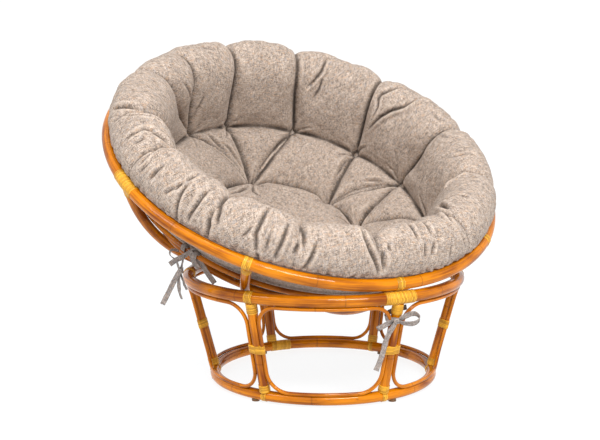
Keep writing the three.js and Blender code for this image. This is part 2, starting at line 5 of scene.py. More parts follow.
import bpy
import numpy as np
from bpy.props import FloatProperty, FloatVectorProperty, PointerProperty
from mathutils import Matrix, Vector


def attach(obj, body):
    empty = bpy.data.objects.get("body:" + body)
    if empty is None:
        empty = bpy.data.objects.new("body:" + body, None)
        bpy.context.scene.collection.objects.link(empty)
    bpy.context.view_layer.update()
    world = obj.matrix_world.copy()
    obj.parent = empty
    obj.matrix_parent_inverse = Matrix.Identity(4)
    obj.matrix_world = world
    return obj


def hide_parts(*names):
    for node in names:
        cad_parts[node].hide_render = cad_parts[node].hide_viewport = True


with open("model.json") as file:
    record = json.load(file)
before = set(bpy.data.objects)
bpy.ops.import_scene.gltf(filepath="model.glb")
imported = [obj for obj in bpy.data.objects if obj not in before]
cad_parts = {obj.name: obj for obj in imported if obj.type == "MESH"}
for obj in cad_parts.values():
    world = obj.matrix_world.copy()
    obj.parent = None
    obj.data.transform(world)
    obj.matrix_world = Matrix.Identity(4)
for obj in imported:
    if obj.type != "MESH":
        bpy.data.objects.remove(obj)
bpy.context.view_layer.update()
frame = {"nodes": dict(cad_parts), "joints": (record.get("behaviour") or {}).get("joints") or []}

bl_info = {
    "name": "Papasan Chair",
    "version": (1, 0, 0),
    "blender": (4, 5, 0),
    "location": "3D View > Sidebar > Papasan",
    "description": "Dresses a papasan chair: rattan poles, wound bindings, a tufted cushion and its ties",
    "category": "Object",
}

TILT_JOINT = next(joint for joint in frame["joints"] if joint["name"] == "bowl_tilt")
LIFT_JOINT = next(joint for joint in frame["joints"] if joint["name"] == "cushion_lift")
BOWL_CENTRE = np.array(TILT_JOINT["pos_m"])
TILT = math.atan2(-LIFT_JOINT["axis"][1], LIFT_JOINT["axis"][2])
STAND_AXIS = np.array([BOWL_CENTRE[0], BOWL_CENTRE[1], 0.0])
UP = np.array([0.0, 0.0, 1.0])

POST_NAMES = ("front", "right_front", "right_back", "back", "left_back", "left_front")
BAY_NAMES = ("right_front", "right", "back_right", "back_left", "left", "left_front")
RIB_ANGLES = {"left_front": 41, "left": 84, "left_back": 132,
              "right_front": -41, "right": -84, "right_back": -132}
HALF_BAY = math.pi / 6
# First random seed of each kind of piece
POST_SEED = 20
LOOP_SEED = 40
RIM_SEED = 60
RIB_SEED = 70
STAND_BINDING_SEED = 100
RIM_BINDING_SEED = 200
RIB_BINDING_SEED = 220
TIE_SEED = 300
FRONT_WRAP_SEED = 401
LEFT_WRAP_SEED = 410


# Sizes and colours

def length(name, description, default, low=0.0005):
    """A size in metres, as a setting"""
    return FloatProperty(name=name, description=description, default=default, min=low, unit="LENGTH",
                         precision=4)


def arc_share(name, default):
    """A place between the bowl's axis and its rim, as a setting"""
    return FloatProperty(name=name, description="Share of the arc to the rim", default=default)


def colour(name, description, default):
    """A colour, as a setting"""
    return FloatVectorProperty(name=name, description=description, default=default, size=3, min=0, max=1,
                               subtype="COLOR")


class StandSizes(bpy.types.PropertyGroup):
    """Sizes of the stand"""

    lower_ring_radius: length("Lower ring radius", "From the axis to the middle of the pole", 0.29)
    lower_ring_pole: length("Lower ring pole", "Thickness of the lower ring", 0.027)
    upper_ring_radius: length("Upper ring radius", "From the axis to the middle of the pole", 0.3585)
    upper_ring_pole: length("Upper ring pole", "Thickness of the upper ring", 0.03)
    ring_spacing: length("Ring spacing", "Height between the two rings", 0.2604)
    foot_height: length("Foot height", "Height of the glides under the lower ring", 0.0045)
    post_pole: length("Post pole", "Thickness of a post", 0.026)
    loop_pole: length("Loop pole", "Thickness of the rod bent into each bay", 0.0095)
    loop_outset: length("Loop outset", "How far the loops stand outside the posts' middle", 0.006)
    loop_corner: length("Loop corner", "Radius of a loop's corners", 0.052)


class BowlSizes(bpy.types.PropertyGroup):
    """Sizes of the bowl"""

    rim_radius: length("Rim radius", "From the bowl's axis to the middle of the rim", 0.53)
    rim_drop: length("Rim drop", "From the centre of the ribs' sphere down to the rim", 0.226)
    rim_pole: length("Rim pole", "Thickness of the rim", 0.031)
    rib_pole: length("Rib pole", "Thickness of a rib", 0.025)
    upper_hoop_pole: length("Upper hoop pole", "Thickness of the upper hoop", 0.013)
    lower_hoop_pole: length("Lower hoop pole", "Thickness of the lower hoop", 0.017)
    bottom_hoop_pole: length("Bottom hoop pole", "Thickness of the bottom hoop", 0.017)
    upper_hoop_share: arc_share("Upper hoop", 0.797)
    lower_hoop_share: arc_share("Lower hoop", 0.6617)
    bottom_hoop_share: arc_share("Bottom hoop", 0.158)
    rib_foot_share: arc_share("Rib foot", 0.128)


class BindingSizes(bpy.types.PropertyGroup):
    """Sizes of the wound peel"""

    peel: length("Peel", "Thickness of the rattan peel", 0.001)
    gap: length("Gap", "Clearance under the peel", 0.0003, 0.0)
    turn: length("Turn", "Width of one turn of peel", 0.0044)
    rim_strap: length("Rim strap", "Length along the rim at a rib", 0.021)
    rim_splice: length("Rim splice", "Length along the rim over its joint", 0.086)
    rib_wrap: length("Rib wrap", "Length down a rib", 0.02)
    top_strap: length("Top strap", "Length along the upper ring at a post", 0.022)
    top_splice: length("Top splice", "Length along the upper ring over its joint", 0.084)
    top_wrap: length("Top wrap", "Length down a post", 0.026)
    middle_wrap: length("Middle wrap", "Length round a post and its two loops", 0.022)
    bottom_strap: length("Bottom strap", "Length along the lower ring at a post", 0.014)
    bottom_splice: length("Bottom splice", "Length along the lower ring over its joint", 0.062)
    bottom_wrap: length("Bottom wrap", "Length up a post", 0.019)


class CushionSizes(bpy.types.PropertyGroup):
    """Sizes of the cushion"""

    under_sphere: length("Under sphere", "Radius of the sphere that the underside lies on", 0.5461)
    shoulder: length("Shoulder", "How far from a sewn line a panel is nearly full", 0.075)
    gather_depth: length("Gather depth", "Depth of the gathers by the seam", 0.0045, 0.0)
    thread: length("Thread", "Spacing of the cloth's threads", 0.0018)
    blow_pressure: FloatProperty(name="Blow pressure", description="Pressure that fills it in the simulation",
                                 default=50.0, min=0.0)


class TieSizes(bpy.types.PropertyGroup):
    """Sizes of the ties"""

    width: length("Tie width", "Width of a tie", 0.013)
    thickness: length("Tie thickness", "Thickness of a tie", 0.0016)


class Finishes(bpy.types.PropertyGroup):
    """Colours of the finishes"""

    pole_light: colour("Pole light", "Light streaks of the lacquered poles", (0.62, 0.195, 0.0008))
    pole_dark: colour("Pole dark", "Dark streaks of the lacquered poles", (0.2, 0.042, 0.0006))
    # Knot also gives the colour of the painted shade in the grooves of the wound peel
    knot: colour("Knot", "Lines where the cane's joints were", (0.08, 0.022, 0.004))
    peel_light: colour("Peel light", "Light turns of the wound peel", (0.8, 0.41, 0.035))
    peel_dark: colour("Peel dark", "Dark turns of the wound peel", (0.42, 0.185, 0.012))
    cloth_light: colour("Cloth light", "Pale threads of the cushion", (0.545, 0.448, 0.377))
    cloth_dark: colour("Cloth dark", "Brown threads of the cushion", (0.105, 0.077, 0.06))
    tie_light: colour("Tie light", "Pale threads of the ties", (0.42, 0.365, 0.335))
    tie_dark: colour("Tie dark", "Brown threads of the ties", (0.1, 0.084, 0.077))
    glide: colour("Glide", "Plastic of the glides", (0.1, 0.045, 0.012))
    floor: colour("Floor", "The studio floor", (0.13, 0.135, 0.14))
    floor_glow: FloatProperty(name="Floor glow", description="Light of the lit floor", default=0.87, min=0)


class StudioSettings(bpy.types.PropertyGroup):
    """Camera and light"""

    camera_place: FloatVectorProperty(name="Camera", description="Where the camera stands", size=3,
                                      default=(-1.52985, -2.68458, 0.8335), unit="LENGTH")
    camera_facing: FloatVectorProperty(name="Facing", description="Where the camera looks", size=3,
                                       default=(0.48722, 0.86277, -0.13509), subtype="DIRECTION")
    lens: FloatProperty(name="Lens", description="Focal length in millimetres", default=68.46)
    world_strength: FloatProperty(name="World", description="Strength of the white room", default=1.05, min=0)
    key_power: FloatProperty(name="Key light", description="Power of the main light", default=8, unit="POWER")
    overhead_strength: FloatProperty(name="Overhead", description="Strength of the soft light from above",
                                     default=0.8, min=0)
    front_power: FloatProperty(name="Front", description="Power of the wide front light", default=95, min=0)
    fill_power: FloatProperty(name="Fill light", description="Power of the side light", default=14,
                              unit="POWER")


# Places

def stand_place(points):
    """From the stand's own frame, with its axis at the origin, to the scene"""
    return np.asarray(points) + STAND_AXIS


def bowl_turn(vectors):
    """Turns directions from the bowl's own frame to the scene"""
    vectors = np.asarray(vectors, float)
    x, y, z = vectors[..., 0], vectors[..., 1], vectors[..., 2]
    return np.stack([x, y * math.cos(TILT) - z * math.sin(TILT), y * math.sin(TILT) + z * math.cos(TILT)], -1)


def bowl_place(points):
    """From the bowl's own frame, with the ribs' sphere round the origin, to the scene"""
    return bowl_turn(points) + BOWL_CENTRE


def bowl_heading(azimuth):
    """Direction in the bowl's plane, from its low front round by the left side"""
    return np.stack([-np.sin(azimuth), -np.cos(azimuth), np.zeros_like(azimuth)], -1)


def unit(vectors):
    """The same directions with a length of 1"""
    return vectors / np.maximum(np.linalg.norm(vectors, axis=-1, keepdims=True), 1e-12)


def turned(points, angle):
    """Turns points about the stand's axis"""
    points = np.asarray(points, float)
    x, y = points[..., 0], points[..., 1]
    return np.stack([x * math.cos(angle) - y * math.sin(angle), x * math.sin(angle) + y * math.cos(angle),
                     points[..., 2]], -1)


def post_turn(index):
    """How far a post is turned from the +X direction"""
    return -math.pi / 2 + 2 * HALF_BAY * index


def even_angles(count):
    """Even steps round a circle"""
    return 2 * np.pi * np.arange(count) / count


def arc_lengths(points):
    """Length along a line at each of its points"""
    return np.concatenate([[0], np.cumsum(np.linalg.norm(np.diff(points, axis=0), axis=1))])


def read_at(places, marks, values):
    """Rows of values, read at places between their marks"""
    return np.stack([np.interp(places, marks, column) for column in values.T], -1)


def spline(points, steps):
    """Fine points of a smooth curve through a list of points, with so many steps from each to the next"""
    points = np.asarray(points, float)
    ends = np.concatenate([[2 * points[0] - points[1]], points, [2 * points[-1] - points[-2]]])
    share = np.arange(steps)[:, None] / steps
    fine = []
    for before, start, end, after in zip(ends, ends[1:], ends[2:], ends[3:]):
        fine.append(0.5 * (2 * start + (end - before) * share
                           + (2 * before - 5 * start + 4 * end - after) * share ** 2
                           + (3 * start - before - 3 * end + after) * share ** 3))
    return np.concatenate(fine + [points[-1:]])


# Making meshes

def new_piece(name, points, faces, material, body, marks=None, cloth_map=None):
    """Links a smooth mesh to the scene, with float or vector values at its points, riding on a body"""
    mesh = bpy.data.meshes.new(name)
    mesh.from_pydata(np.asarray(points).reshape(-1, 3).tolist(), [], faces)
    for label, values in (marks or {}).items():
        values = np.asarray(values, np.float32)
        is_vector = values.ndim > 1
        layer = mesh.attributes.new(label, "FLOAT_VECTOR" if is_vector else "FLOAT", "POINT")
        layer.data.foreach_set("vector" if is_vector else "value", values.ravel())
    if cloth_map is not None:
        layer = mesh.uv_layers.new(name="cloth")
        layer.data.foreach_set("uv", np.asarray(cloth_map, np.float32).ravel())
    mesh.shade_smooth()
    mesh.materials.append(material)
    piece = bpy.data.objects.new(name, mesh)
    bpy.context.scene.collection.objects.link(piece)
    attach(piece, body)
    return piece


def grid_faces(rows, columns, is_closed):
    """Quads over a grid of points whose rows are closed rings, and whose last row may meet the first"""
    row = np.arange(rows if is_closed else rows - 1)[:, None]
    column = np.arange(columns)[None]
    after = (row + 1) % rows
    beside = (column + 1) % columns
    quads = np.stack([row * columns + column, row * columns + beside, after * columns + beside,
                      after * columns + column], -1)
    return quads.reshape(-1, 4).tolist()


def sweep(path, outward, section, is_closed=False):
    """Lays a section, given outward and across at each side, square to a path"""
    before, after = np.roll(path, 1, 0), np.roll(path, -1, 0)
    if not is_closed:
        before[0], after[-1] = path[0], path[-1]
    along = unit(after - before)
    across = unit(np.cross(along, outward))
    out = np.cross(across, along)
    return path[:, None] + section[..., :1] * out[:, None] + section[..., 1:] * across[:, None]


def round_section(radius, sides):
    """A round section at each station, from its radius there"""
    angle = even_angles(sides)
    return np.stack([radius[:, None] * np.cos(angle), radius[:, None] * np.sin(angle)], -1)


def capped(faces, rows, columns):
    """Adds a closing face at each end of a tube"""
    last = (rows - 1) * columns
    return faces + [list(range(columns))[::-1], list(range(last, last + columns))]


# Waves of different lengths that add up to a wander, and what scales their sum to about 1
WAVES = (1, 2, 3, 4)
WAVE_SUM = 1.6
ANY_PHASE = 6.3


def wander(along, seed, wavelength, is_ring=False):
    """A soft seeded wave along a line, between about -1 and 1. On a ring whose length is a number of
    wavelengths, the wave meets itself."""
    rng = np.random.default_rng(seed)
    total = np.zeros_like(along)
    for wave in WAVES:
        turns = along / wavelength * wave * (1 if is_ring else rng.uniform(0.7, 1.3))
        total += np.sin(2 * np.pi * turns + rng.uniform(0, ANY_PHASE)) / wave
    return total / WAVE_SUM


# Poles

POLE_SIDES = 28
HOOP_SIDES = 20
ROD_SIDES = 16
STATION = 0.006
# Joints of the cane, in metres: where the first may lie, how far apart they are, the stations beside each and
# its dark line
FIRST_JOINT = (0.06, 0.2)
JOINT_SPACING = (0.21, 0.37)
LAST_JOINT = 0.05
JOINT_CLEAR = 0.0095
JOINT_STATIONS = np.array([-8, -5.5, -3.6, -2.2, -1.3, -0.7, 0, 0.7, 1.3, 2.2, 3.6, 5.5, 8]) / 1000
JOINT_LINE = -0.0012
JOINT_LINE_WIDTH = 0.0013
# How uneven a pole is, as a share of its radius, in waves of this length or so many round a ring
UNEVENNESS = 0.006
WAVELENGTH = 0.16
RING_WAVES = 7


def cane_stations(total, seed, is_closed):
    """Stations along a pole, closer together at the joints of the cane, and where those joints are"""
    rng = np.random.default_rng(seed)
    joints = []
    place = rng.uniform(*FIRST_JOINT)
    while place < total - LAST_JOINT:
        joints.append(place)
        place += rng.uniform(*JOINT_SPACING)
    base = np.linspace(0, total, max(int(total / STATION), 8) + 1)
    base = base[:-1] if is_closed else base
    for joint in joints:
        base = base[np.abs(base - joint) > JOINT_CLEAR]
    extra = np.concatenate([joint + JOINT_STATIONS for joint in joints]) if joints else np.zeros(0)
    extra = extra[(extra > 0) & (extra < total)]
    return np.sort(np.concatenate([base, extra])), joints


def pole(name, path_at, outward_at, total, thickness, seed, body, node, is_closed=False, sides=POLE_SIDES,
         place=stand_place, turn=None):
    """One lacquered cane: a long tube, a little uneven, with marks for its grain, its joints and its tone"""
    along, joints = cane_stations(total, seed, is_closed)
    radius = thickness / 2
    waver = wander(along, seed, total / RING_WAVES if is_closed else WAVELENGTH, is_closed)
    line = np.zeros_like(along)
    for joint in joints:
        line = line + np.exp(-((along - joint - JOINT_LINE) / JOINT_LINE_WIDTH) ** 2)
    outward = turn(outward_at(along)) if turn else outward_at(along)
    section = round_section(radius * (1 + UNEVENNESS * waver), sides)
    points = sweep(place(path_at(along)), outward, section, is_closed)
    angle = even_angles(sides)
    # Each pole takes its own stretch of the grain
    grain = np.stack(np.broadcast_arrays(along[:, None] + seed * 3.7, radius * np.cos(angle),
                                         radius * np.sin(angle)), -1)
    faces = grid_faces(len(along), sides, is_closed)
    if not is_closed:
        faces = capped(faces, len(along), sides)
    tone = np.full(points.shape[:2], np.random.default_rng(seed + 900).uniform(0, 1))
    marks = {"grain": grain.reshape(-1, 3), "joint": np.repeat(line, sides), "tone": tone.ravel()}
    piece = new_piece(name, points, faces, lacquered_pole(), body, marks)
    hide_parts(node)


def circle(radius, height):
    """A level circle by arc length, from the +X direction"""
    return lambda along: np.stack([radius * np.cos(along / radius), radius * np.sin(along / radius),
                                   np.full_like(along, height)], -1)


def circle_out(radius):
    """Outwards along the same circle"""
    return lambda along: np.stack([np.cos(along / radius), np.sin(along / radius), np.zeros_like(along)], -1)


def along_loop(points):
    """A closed path by arc length through a list of points, and its length"""
    points = np.asarray(points, float)
    loop = np.concatenate([points, points[:1]])
    marks = arc_lengths(loop)
    return (lambda along: read_at(along, marks, loop)), marks[-1]


def stand_heights():
    """Heights of the middles of the two rings"""
    stand = bpy.context.scene.papasan_stand
    low = stand.foot_height + stand.lower_ring_pole / 2
    return low, low + stand.ring_spacing


def post_point(share):
    """A point of the post in the +X direction, from its foot at share 0 to its top at share 1"""
    stand = bpy.context.scene.papasan_stand
    share = np.asarray(share, float)
    low, high = stand_heights()
    reach = stand.lower_ring_radius + (stand.upper_ring_radius - stand.lower_ring_radius) * share
    return np.stack([reach, np.zeros_like(share), low + (high - low) * share], -1)


def post_out(along):
    """Outwards at each place along the same post"""
    return np.tile([1.0, 0.0, 0.0], (len(along), 1))


def post_length():
    """Length of a post between the middles of the rings"""
    return float(np.linalg.norm(post_point(1.0) - post_point(0.0)))


def loop_measures():
    """Between which shares of the post's height the loops lie, and how far outside and beside the post"""
    stand = bpy.context.scene.papasan_stand
    gap = bpy.context.scene.papasan_binding.gap
    spread = stand.upper_ring_radius - stand.lower_ring_radius
    post = post_length()

    def seat(distance, outset):
        """Share of the post's height at which a loop lies against a ring"""
        reach = outset ** 2 * spread ** 2 - post ** 2 * (outset ** 2 - distance ** 2)
        return (math.sqrt(reach) - outset * spread) / post ** 2

    low = seat((stand.lower_ring_pole + stand.loop_pole) / 2 + gap, stand.loop_outset)
    high = 1 - seat((stand.upper_ring_pole + stand.loop_pole) / 2 + gap, -stand.loop_outset)
    square = stand.loop_outset * math.cos(math.atan2(spread, stand.ring_spacing))
    aside = math.sqrt(((stand.post_pole + stand.loop_pole) / 2 + gap) ** 2 - square ** 2)
    return low, high, square, aside


CORNER_STEPS = 12
LEVEL_STEPS = 30
SIDE_STEPS = 12


def loop_points():
    """The path of the loop in the bay that is centred on +X"""
    stand = bpy.context.scene.papasan_stand
    low, high, _, aside = loop_measures()
    corner = stand.loop_corner / post_length()
    points = []

    def bay_point(sideways, share):
        reach = post_point(share)[0] + stand.loop_outset
        return [reach * math.cos(sideways / reach), reach * math.sin(sideways / reach), post_point(share)[2]]

    def half_width(share):
        return (post_point(share)[0] + stand.loop_outset) * HALF_BAY - aside

    corners = ((1, low, 1), (1, high, -1), (-1, high, -1), (-1, low, 1))
    for index, (side, level, up) in enumerate(corners):
        for step in range(CORNER_STEPS + 1):
            angle = (index - 1 + step / CORNER_STEPS) * math.pi / 2
            share = level + up * corner + corner * math.sin(angle)
            inset = stand.loop_corner - side * stand.loop_corner * math.cos(angle)
            points.append(bay_point(side * (half_width(share) - inset), share))
        if index % 2 == 1:
            half = half_width(level) - stand.loop_corner
            beyond = corners[(index + 1) % 4][0]
            for step in range(1, LEVEL_STEPS):
                points.append(bay_point(half * (side + (beyond - side) * step / LEVEL_STEPS), level))
        else:
            for step in range(1, SIDE_STEPS):
                share = level + up * corner + (high - low - 2 * corner) * up * step / SIDE_STEPS
                points.append(bay_point(side * half_width(share), share))
    return points


# Bowl measures

def sphere_radius():
    """Radius of the sphere that the ribs lie on"""
    bowl = bpy.context.scene.papasan_bowl
    return math.hypot(bowl.rim_radius, bowl.rim_drop)


def rim_polar():
    """Angle off the bowl's axis at the rim"""
    bowl = bpy.context.scene.papasan_bowl
    return math.atan2(bowl.rim_radius, bowl.rim_drop)


def hoop_measures(share, thickness):
    """Radius and height of a hoop inside the ribs, at a share of the arc to the rim"""
    bowl = bpy.context.scene.papasan_bowl
    reach = sphere_radius() - bowl.rib_pole / 2 - bpy.context.scene.papasan_binding.gap - thickness / 2
    polar = share * rim_polar()
    return reach * math.sin(polar), -reach * math.cos(polar)


def rib_path(azimuth, first_polar):
    """Arc on the ribs' sphere, by arc length from the first angle off the bowl's axis"""
    reach = sphere_radius()

    def path_at(along):
        polar = first_polar + along / reach
        side = bowl_heading(np.full_like(along, azimuth))
        return reach * (np.sin(polar)[:, None] * side - np.cos(polar)[:, None] * UP)

    return path_at


# Wound bindings

STATIONS_PER_TURN = 9
TURN_SLANT = 0.9
# Rise of a turn in thicknesses of the peel: in the groove, over it, and how much that varies
GROOVE_RISE = 0.22
TURN_RISE = 0.66
RISE_VARIES = (-0.12, 0.2)
END_FADE = 0.0007
END_SINK = 0.0001
WINDING_SIDES = 40
RIM_WINDING_SIDES = 44
CLUSTER_SIDES = 72
CLUSTER_STEPS = 720
# Width of a turn on the posts, on the ribs and round the clusters, as a share of the usual one
POST_TURN = 0.72
FINE_TURN = 0.8
# How far a wrap runs in under the binding beside it
TUCK = 0.001


def turn_profile(phase):
    """Rise of a turn of peel across its width, from 0 in the groove to 1"""
    across = np.abs(2 * (phase % 1.0) - 1)
    return (1 - across ** 5) ** 0.6


def sleeve(path_at, outward_at, start, end, inner, sides, width, seed):
    """A wound sleeve round a path, from one arc length to another. inner(sides) gives the section under it as
    outward and across, and the direction in which it grows. Returns points, grain, the depth of the grooves
    between turns for painted shade, and tones."""
    binding = bpy.context.scene.papasan_binding
    turns = max(round((end - start) / width), 2)
    pitch = (end - start) / turns
    along = np.linspace(start, end, turns * STATIONS_PER_TURN + 1)
    base, grows = inner(sides)
    phase = (along[:, None] - start) / pitch + even_angles(sides)[None] / (2 * np.pi) * TURN_SLANT
    number = np.floor(phase)
    which = number.astype(int) + 1
    rng = np.random.default_rng(seed)
    lift = rng.uniform(*RISE_VARIES, turns + 4)[which]
    rise = binding.gap + binding.peel * (GROOVE_RISE + (TURN_RISE + lift) * turn_profile(phase))
    end_fade = np.clip(np.minimum(along - start, end - along) / END_FADE, 0, 1) ** 0.5
    rise = rise * end_fade[:, None] - END_SINK * (1 - end_fade[:, None])
    section = base[None] + grows[None] * rise[..., None]
    points = sweep(path_at(along), outward_at(along), section)
    around = arc_lengths(base)
    grain = np.broadcast_arrays(around[None] + number * 0.37 + seed, phase * pitch, number * 0.11 + seed)
    tone = rng.uniform(0, 1, turns + 4)[which]
    return points, np.stack(grain, -1), 1 - turn_profile(phase), tone


def round_inner(radius):
    """The section of one pole under a sleeve"""
    def inner(sides):
        angle = even_angles(sides)
        out = np.stack([np.cos(angle), np.sin(angle)], -1)
        return out * radius, out
    return inner


def cluster_inner(circles):
    """The tight outline round several poles that lie side by side: circles are (outward, across, radius)"""
    def inner(sides):
        angle = even_angles(CLUSTER_STEPS)
        out = np.stack([np.cos(angle), np.sin(angle)], -1)
        middles, radii = np.array(circles)[:, :2], np.array(circles)[:, 2]
        touched = (middles @ out.T + radii[:, None]).argmax(0)
        outline = middles[touched] + radii[touched][:, None] * out
        closed = np.concatenate([outline, outline[:1]])
        marks = arc_lengths(closed)
        want = np.arange(sides) / sides * marks[-1]
        return read_at(want, marks, closed), unit(read_at(want, marks, np.concatenate([out, out[:1]])))
    return inner


def binding_piece(name, parts, body, node):
    """Joins sleeves into one binding that stands for a node"""
    points, faces, grains, painted_groove_shades, tones = [], [], [], [], []
    count = 0
    for place, grain, painted_groove_shade, tone in parts:
        rows, columns = place.shape[:2]
        tube = capped(grid_faces(rows, columns, False), rows, columns)
        faces += [[count + corner for corner in face] for face in tube]
        points.append(place.reshape(-1, 3))
        grains.append(grain.reshape(-1, 3))
        painted_groove_shades.append(painted_groove_shade.ravel())
        tones.append(tone.ravel())
        count += rows * columns
    marks = {"grain": grains, "painted_groove_shade": painted_groove_shades, "tone": tones}
    marks = {label: np.concatenate(values) for label, values in marks.items()}
    piece = new_piece(name, np.concatenate(points), faces, wound_peel(), body, marks)
    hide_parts(node)


# Finishes

def shader(name, build):
    """Makes a node material once, with its main shader linked to the output"""
    found = bpy.data.materials.get(name)
    if found:
        return found
    material = bpy.data.materials.new(name)
    material.use_nodes = True
    tree = material.node_tree
    build(tree, tree.nodes["Principled BSDF"])
    return material


def add(tree, kind, inputs=None, **settings):
    """Adds a node, with its settings and its inputs as numbers or linked sockets"""
    made = tree.nodes.new(kind)
    for key, value in settings.items():
        setattr(made, key, value)
    for key, value in (inputs or {}).items():
        if isinstance(value, bpy.types.NodeSocket):
            tree.links.new(value, made.inputs[key])
        else:
            made.inputs[key].default_value = value
    return made


def stretched(tree, vector, scale, detail=2.0, roughness=0.5):
    """Noise over a vector, with its own count of cells to the metre along each axis"""
    scaled = add(tree, "ShaderNodeVectorMath", {0: vector, 1: scale}, operation="MULTIPLY")
    noise = add(tree, "ShaderNodeTexNoise", {"Vector": scaled.outputs[0], "Scale": 1.0, "Detail": detail,
                                             "Roughness": roughness})
    return noise.outputs["Fac"]


def mixed(tree, factor, first, second):
    """A colour between two colours"""
    made = add(tree, "ShaderNodeMix", data_type="RGBA")
    for socket, value in ((made.inputs[0], factor), (made.inputs[6], first), (made.inputs[7], second)):
        if isinstance(value, bpy.types.NodeSocket):
            tree.links.new(value, socket)
        else:
            socket.default_value = value if np.isscalar(value) else (*value, 1.0)[:4]
    return made.outputs[2]


def ranged(tree, value, low, high, to_low=0.0, to_high=1.0):
    """A value carried from one range to another, and kept inside it"""
    made = add(tree, "ShaderNodeMapRange", {"Value": value, "From Min": low, "From Max": high,
                                            "To Min": to_low, "To Max": to_high})
    return made.outputs[0]


def arithmetic(tree, operation, first, second=0.0):
    """A sum, product or other working of two values"""
    return add(tree, "ShaderNodeMath", {0: first, 1: second}, operation=operation).outputs[0]


def mark_of(tree, name, output="Fac"):
    """The value that a mesh keeps at its points"""
    return add(tree, "ShaderNodeAttribute", attribute_name=name).outputs[output]


def in_relief(tree, main, height, strength, distance):
    """Gives the main shader a fine relief"""
    bump = add(tree, "ShaderNodeBump", {"Height": height, "Strength": strength, "Distance": distance})
    tree.links.new(bump.outputs[0], main.inputs["Normal"])


def shaded(tint, share):
    """A colour made paler or darker"""
    return tuple(min(1.0, part * share) for part in tint)


def lacquered_pole():
    """Cane under a clear honey lacquer: long fine fibres, broad patches of tone and dark joint lines"""
    looks = bpy.context.scene.papasan_finishes

    def build(tree, main):
        grain = mark_of(tree, "grain", "Vector")
        fibre = stretched(tree, grain, (22, 700, 700), 3.0, 0.6)
        streak = stretched(tree, grain, (5, 190, 190), 2.0)
        patch = stretched(tree, grain, (9, 28, 28), 3.0)
        tone = ranged(tree, mark_of(tree, "tone"), 0, 1, -0.1, 0.1)
        blend = arithmetic(tree, "ADD", ranged(tree, streak, 0.32, 0.68, -0.1, 0.7),
                           arithmetic(tree, "ADD", ranged(tree, patch, 0.3, 0.72, -0.42, 0.72), tone))
        body = mixed(tree, blend, looks.pole_light, looks.pole_dark)
        body = mixed(tree, ranged(tree, fibre, 0.52, 0.72, 0, 0.55), body, looks.pole_dark)
        speck = ranged(tree, stretched(tree, grain, (60, 260, 260), 1.0), 0.72, 0.78, 0, 0.6)
        body = mixed(tree, speck, body, looks.knot)
        body = mixed(tree, ranged(tree, mark_of(tree, "joint"), 0.0, 1.0, 0, 0.5), body, looks.knot)
        tree.links.new(body, main.inputs["Base Color"])
        rough = ranged(tree, fibre, 0.3, 0.7, 0.24, 0.38)
        tree.links.new(rough, main.inputs["Roughness"])
        main.inputs["Coat Weight"].default_value = 0.65
        main.inputs["Coat IOR"].default_value = 1.42
        main.inputs["Coat Roughness"].default_value = 0.04
        main.inputs["Specular IOR Level"].default_value = 0.02
        relief = arithmetic(tree, "ADD", fibre, arithmetic(tree, "MULTIPLY", streak, 1.5))
        in_relief(tree, main, relief, 0.25, 0.0003)

    return shader("Lacquered cane", build)


def wound_peel():
    """Split peel of the cane, paler and more golden than the poles, with painted shade darkening the grooves
    between the turns
    """
    looks = bpy.context.scene.papasan_finishes

    def build(tree, main):
        grain = mark_of(tree, "grain", "Vector")
        fibre = stretched(tree, grain, (60, 1800, 40), 2.0, 0.6)
        tone = ranged(tree, mark_of(tree, "tone"), 0, 1, -0.05, 0.85)
        body = mixed(tree, tone, looks.peel_light, looks.peel_dark)
        body = mixed(tree, ranged(tree, fibre, 0.5, 0.8, 0, 0.5), body, looks.peel_dark)
        # Painted shade: the grooves between the turns darken towards the knot colour
        painted_groove_shade = ranged(tree, mark_of(tree, "painted_groove_shade"), 0.1, 0.6, 0, 0.97)
        body = mixed(tree, painted_groove_shade, body, looks.knot)
        tree.links.new(body, main.inputs["Base Color"])
        tree.links.new(ranged(tree, fibre, 0.3, 0.7, 0.28, 0.45), main.inputs["Roughness"])
        main.inputs["Coat Weight"].default_value = 0.3
        main.inputs["Coat Roughness"].default_value = 0.12
        main.inputs["Specular IOR Level"].default_value = 0.1
        in_relief(tree, main, fibre, 0.4, 0.0003)

    return shader("Wound peel", build)


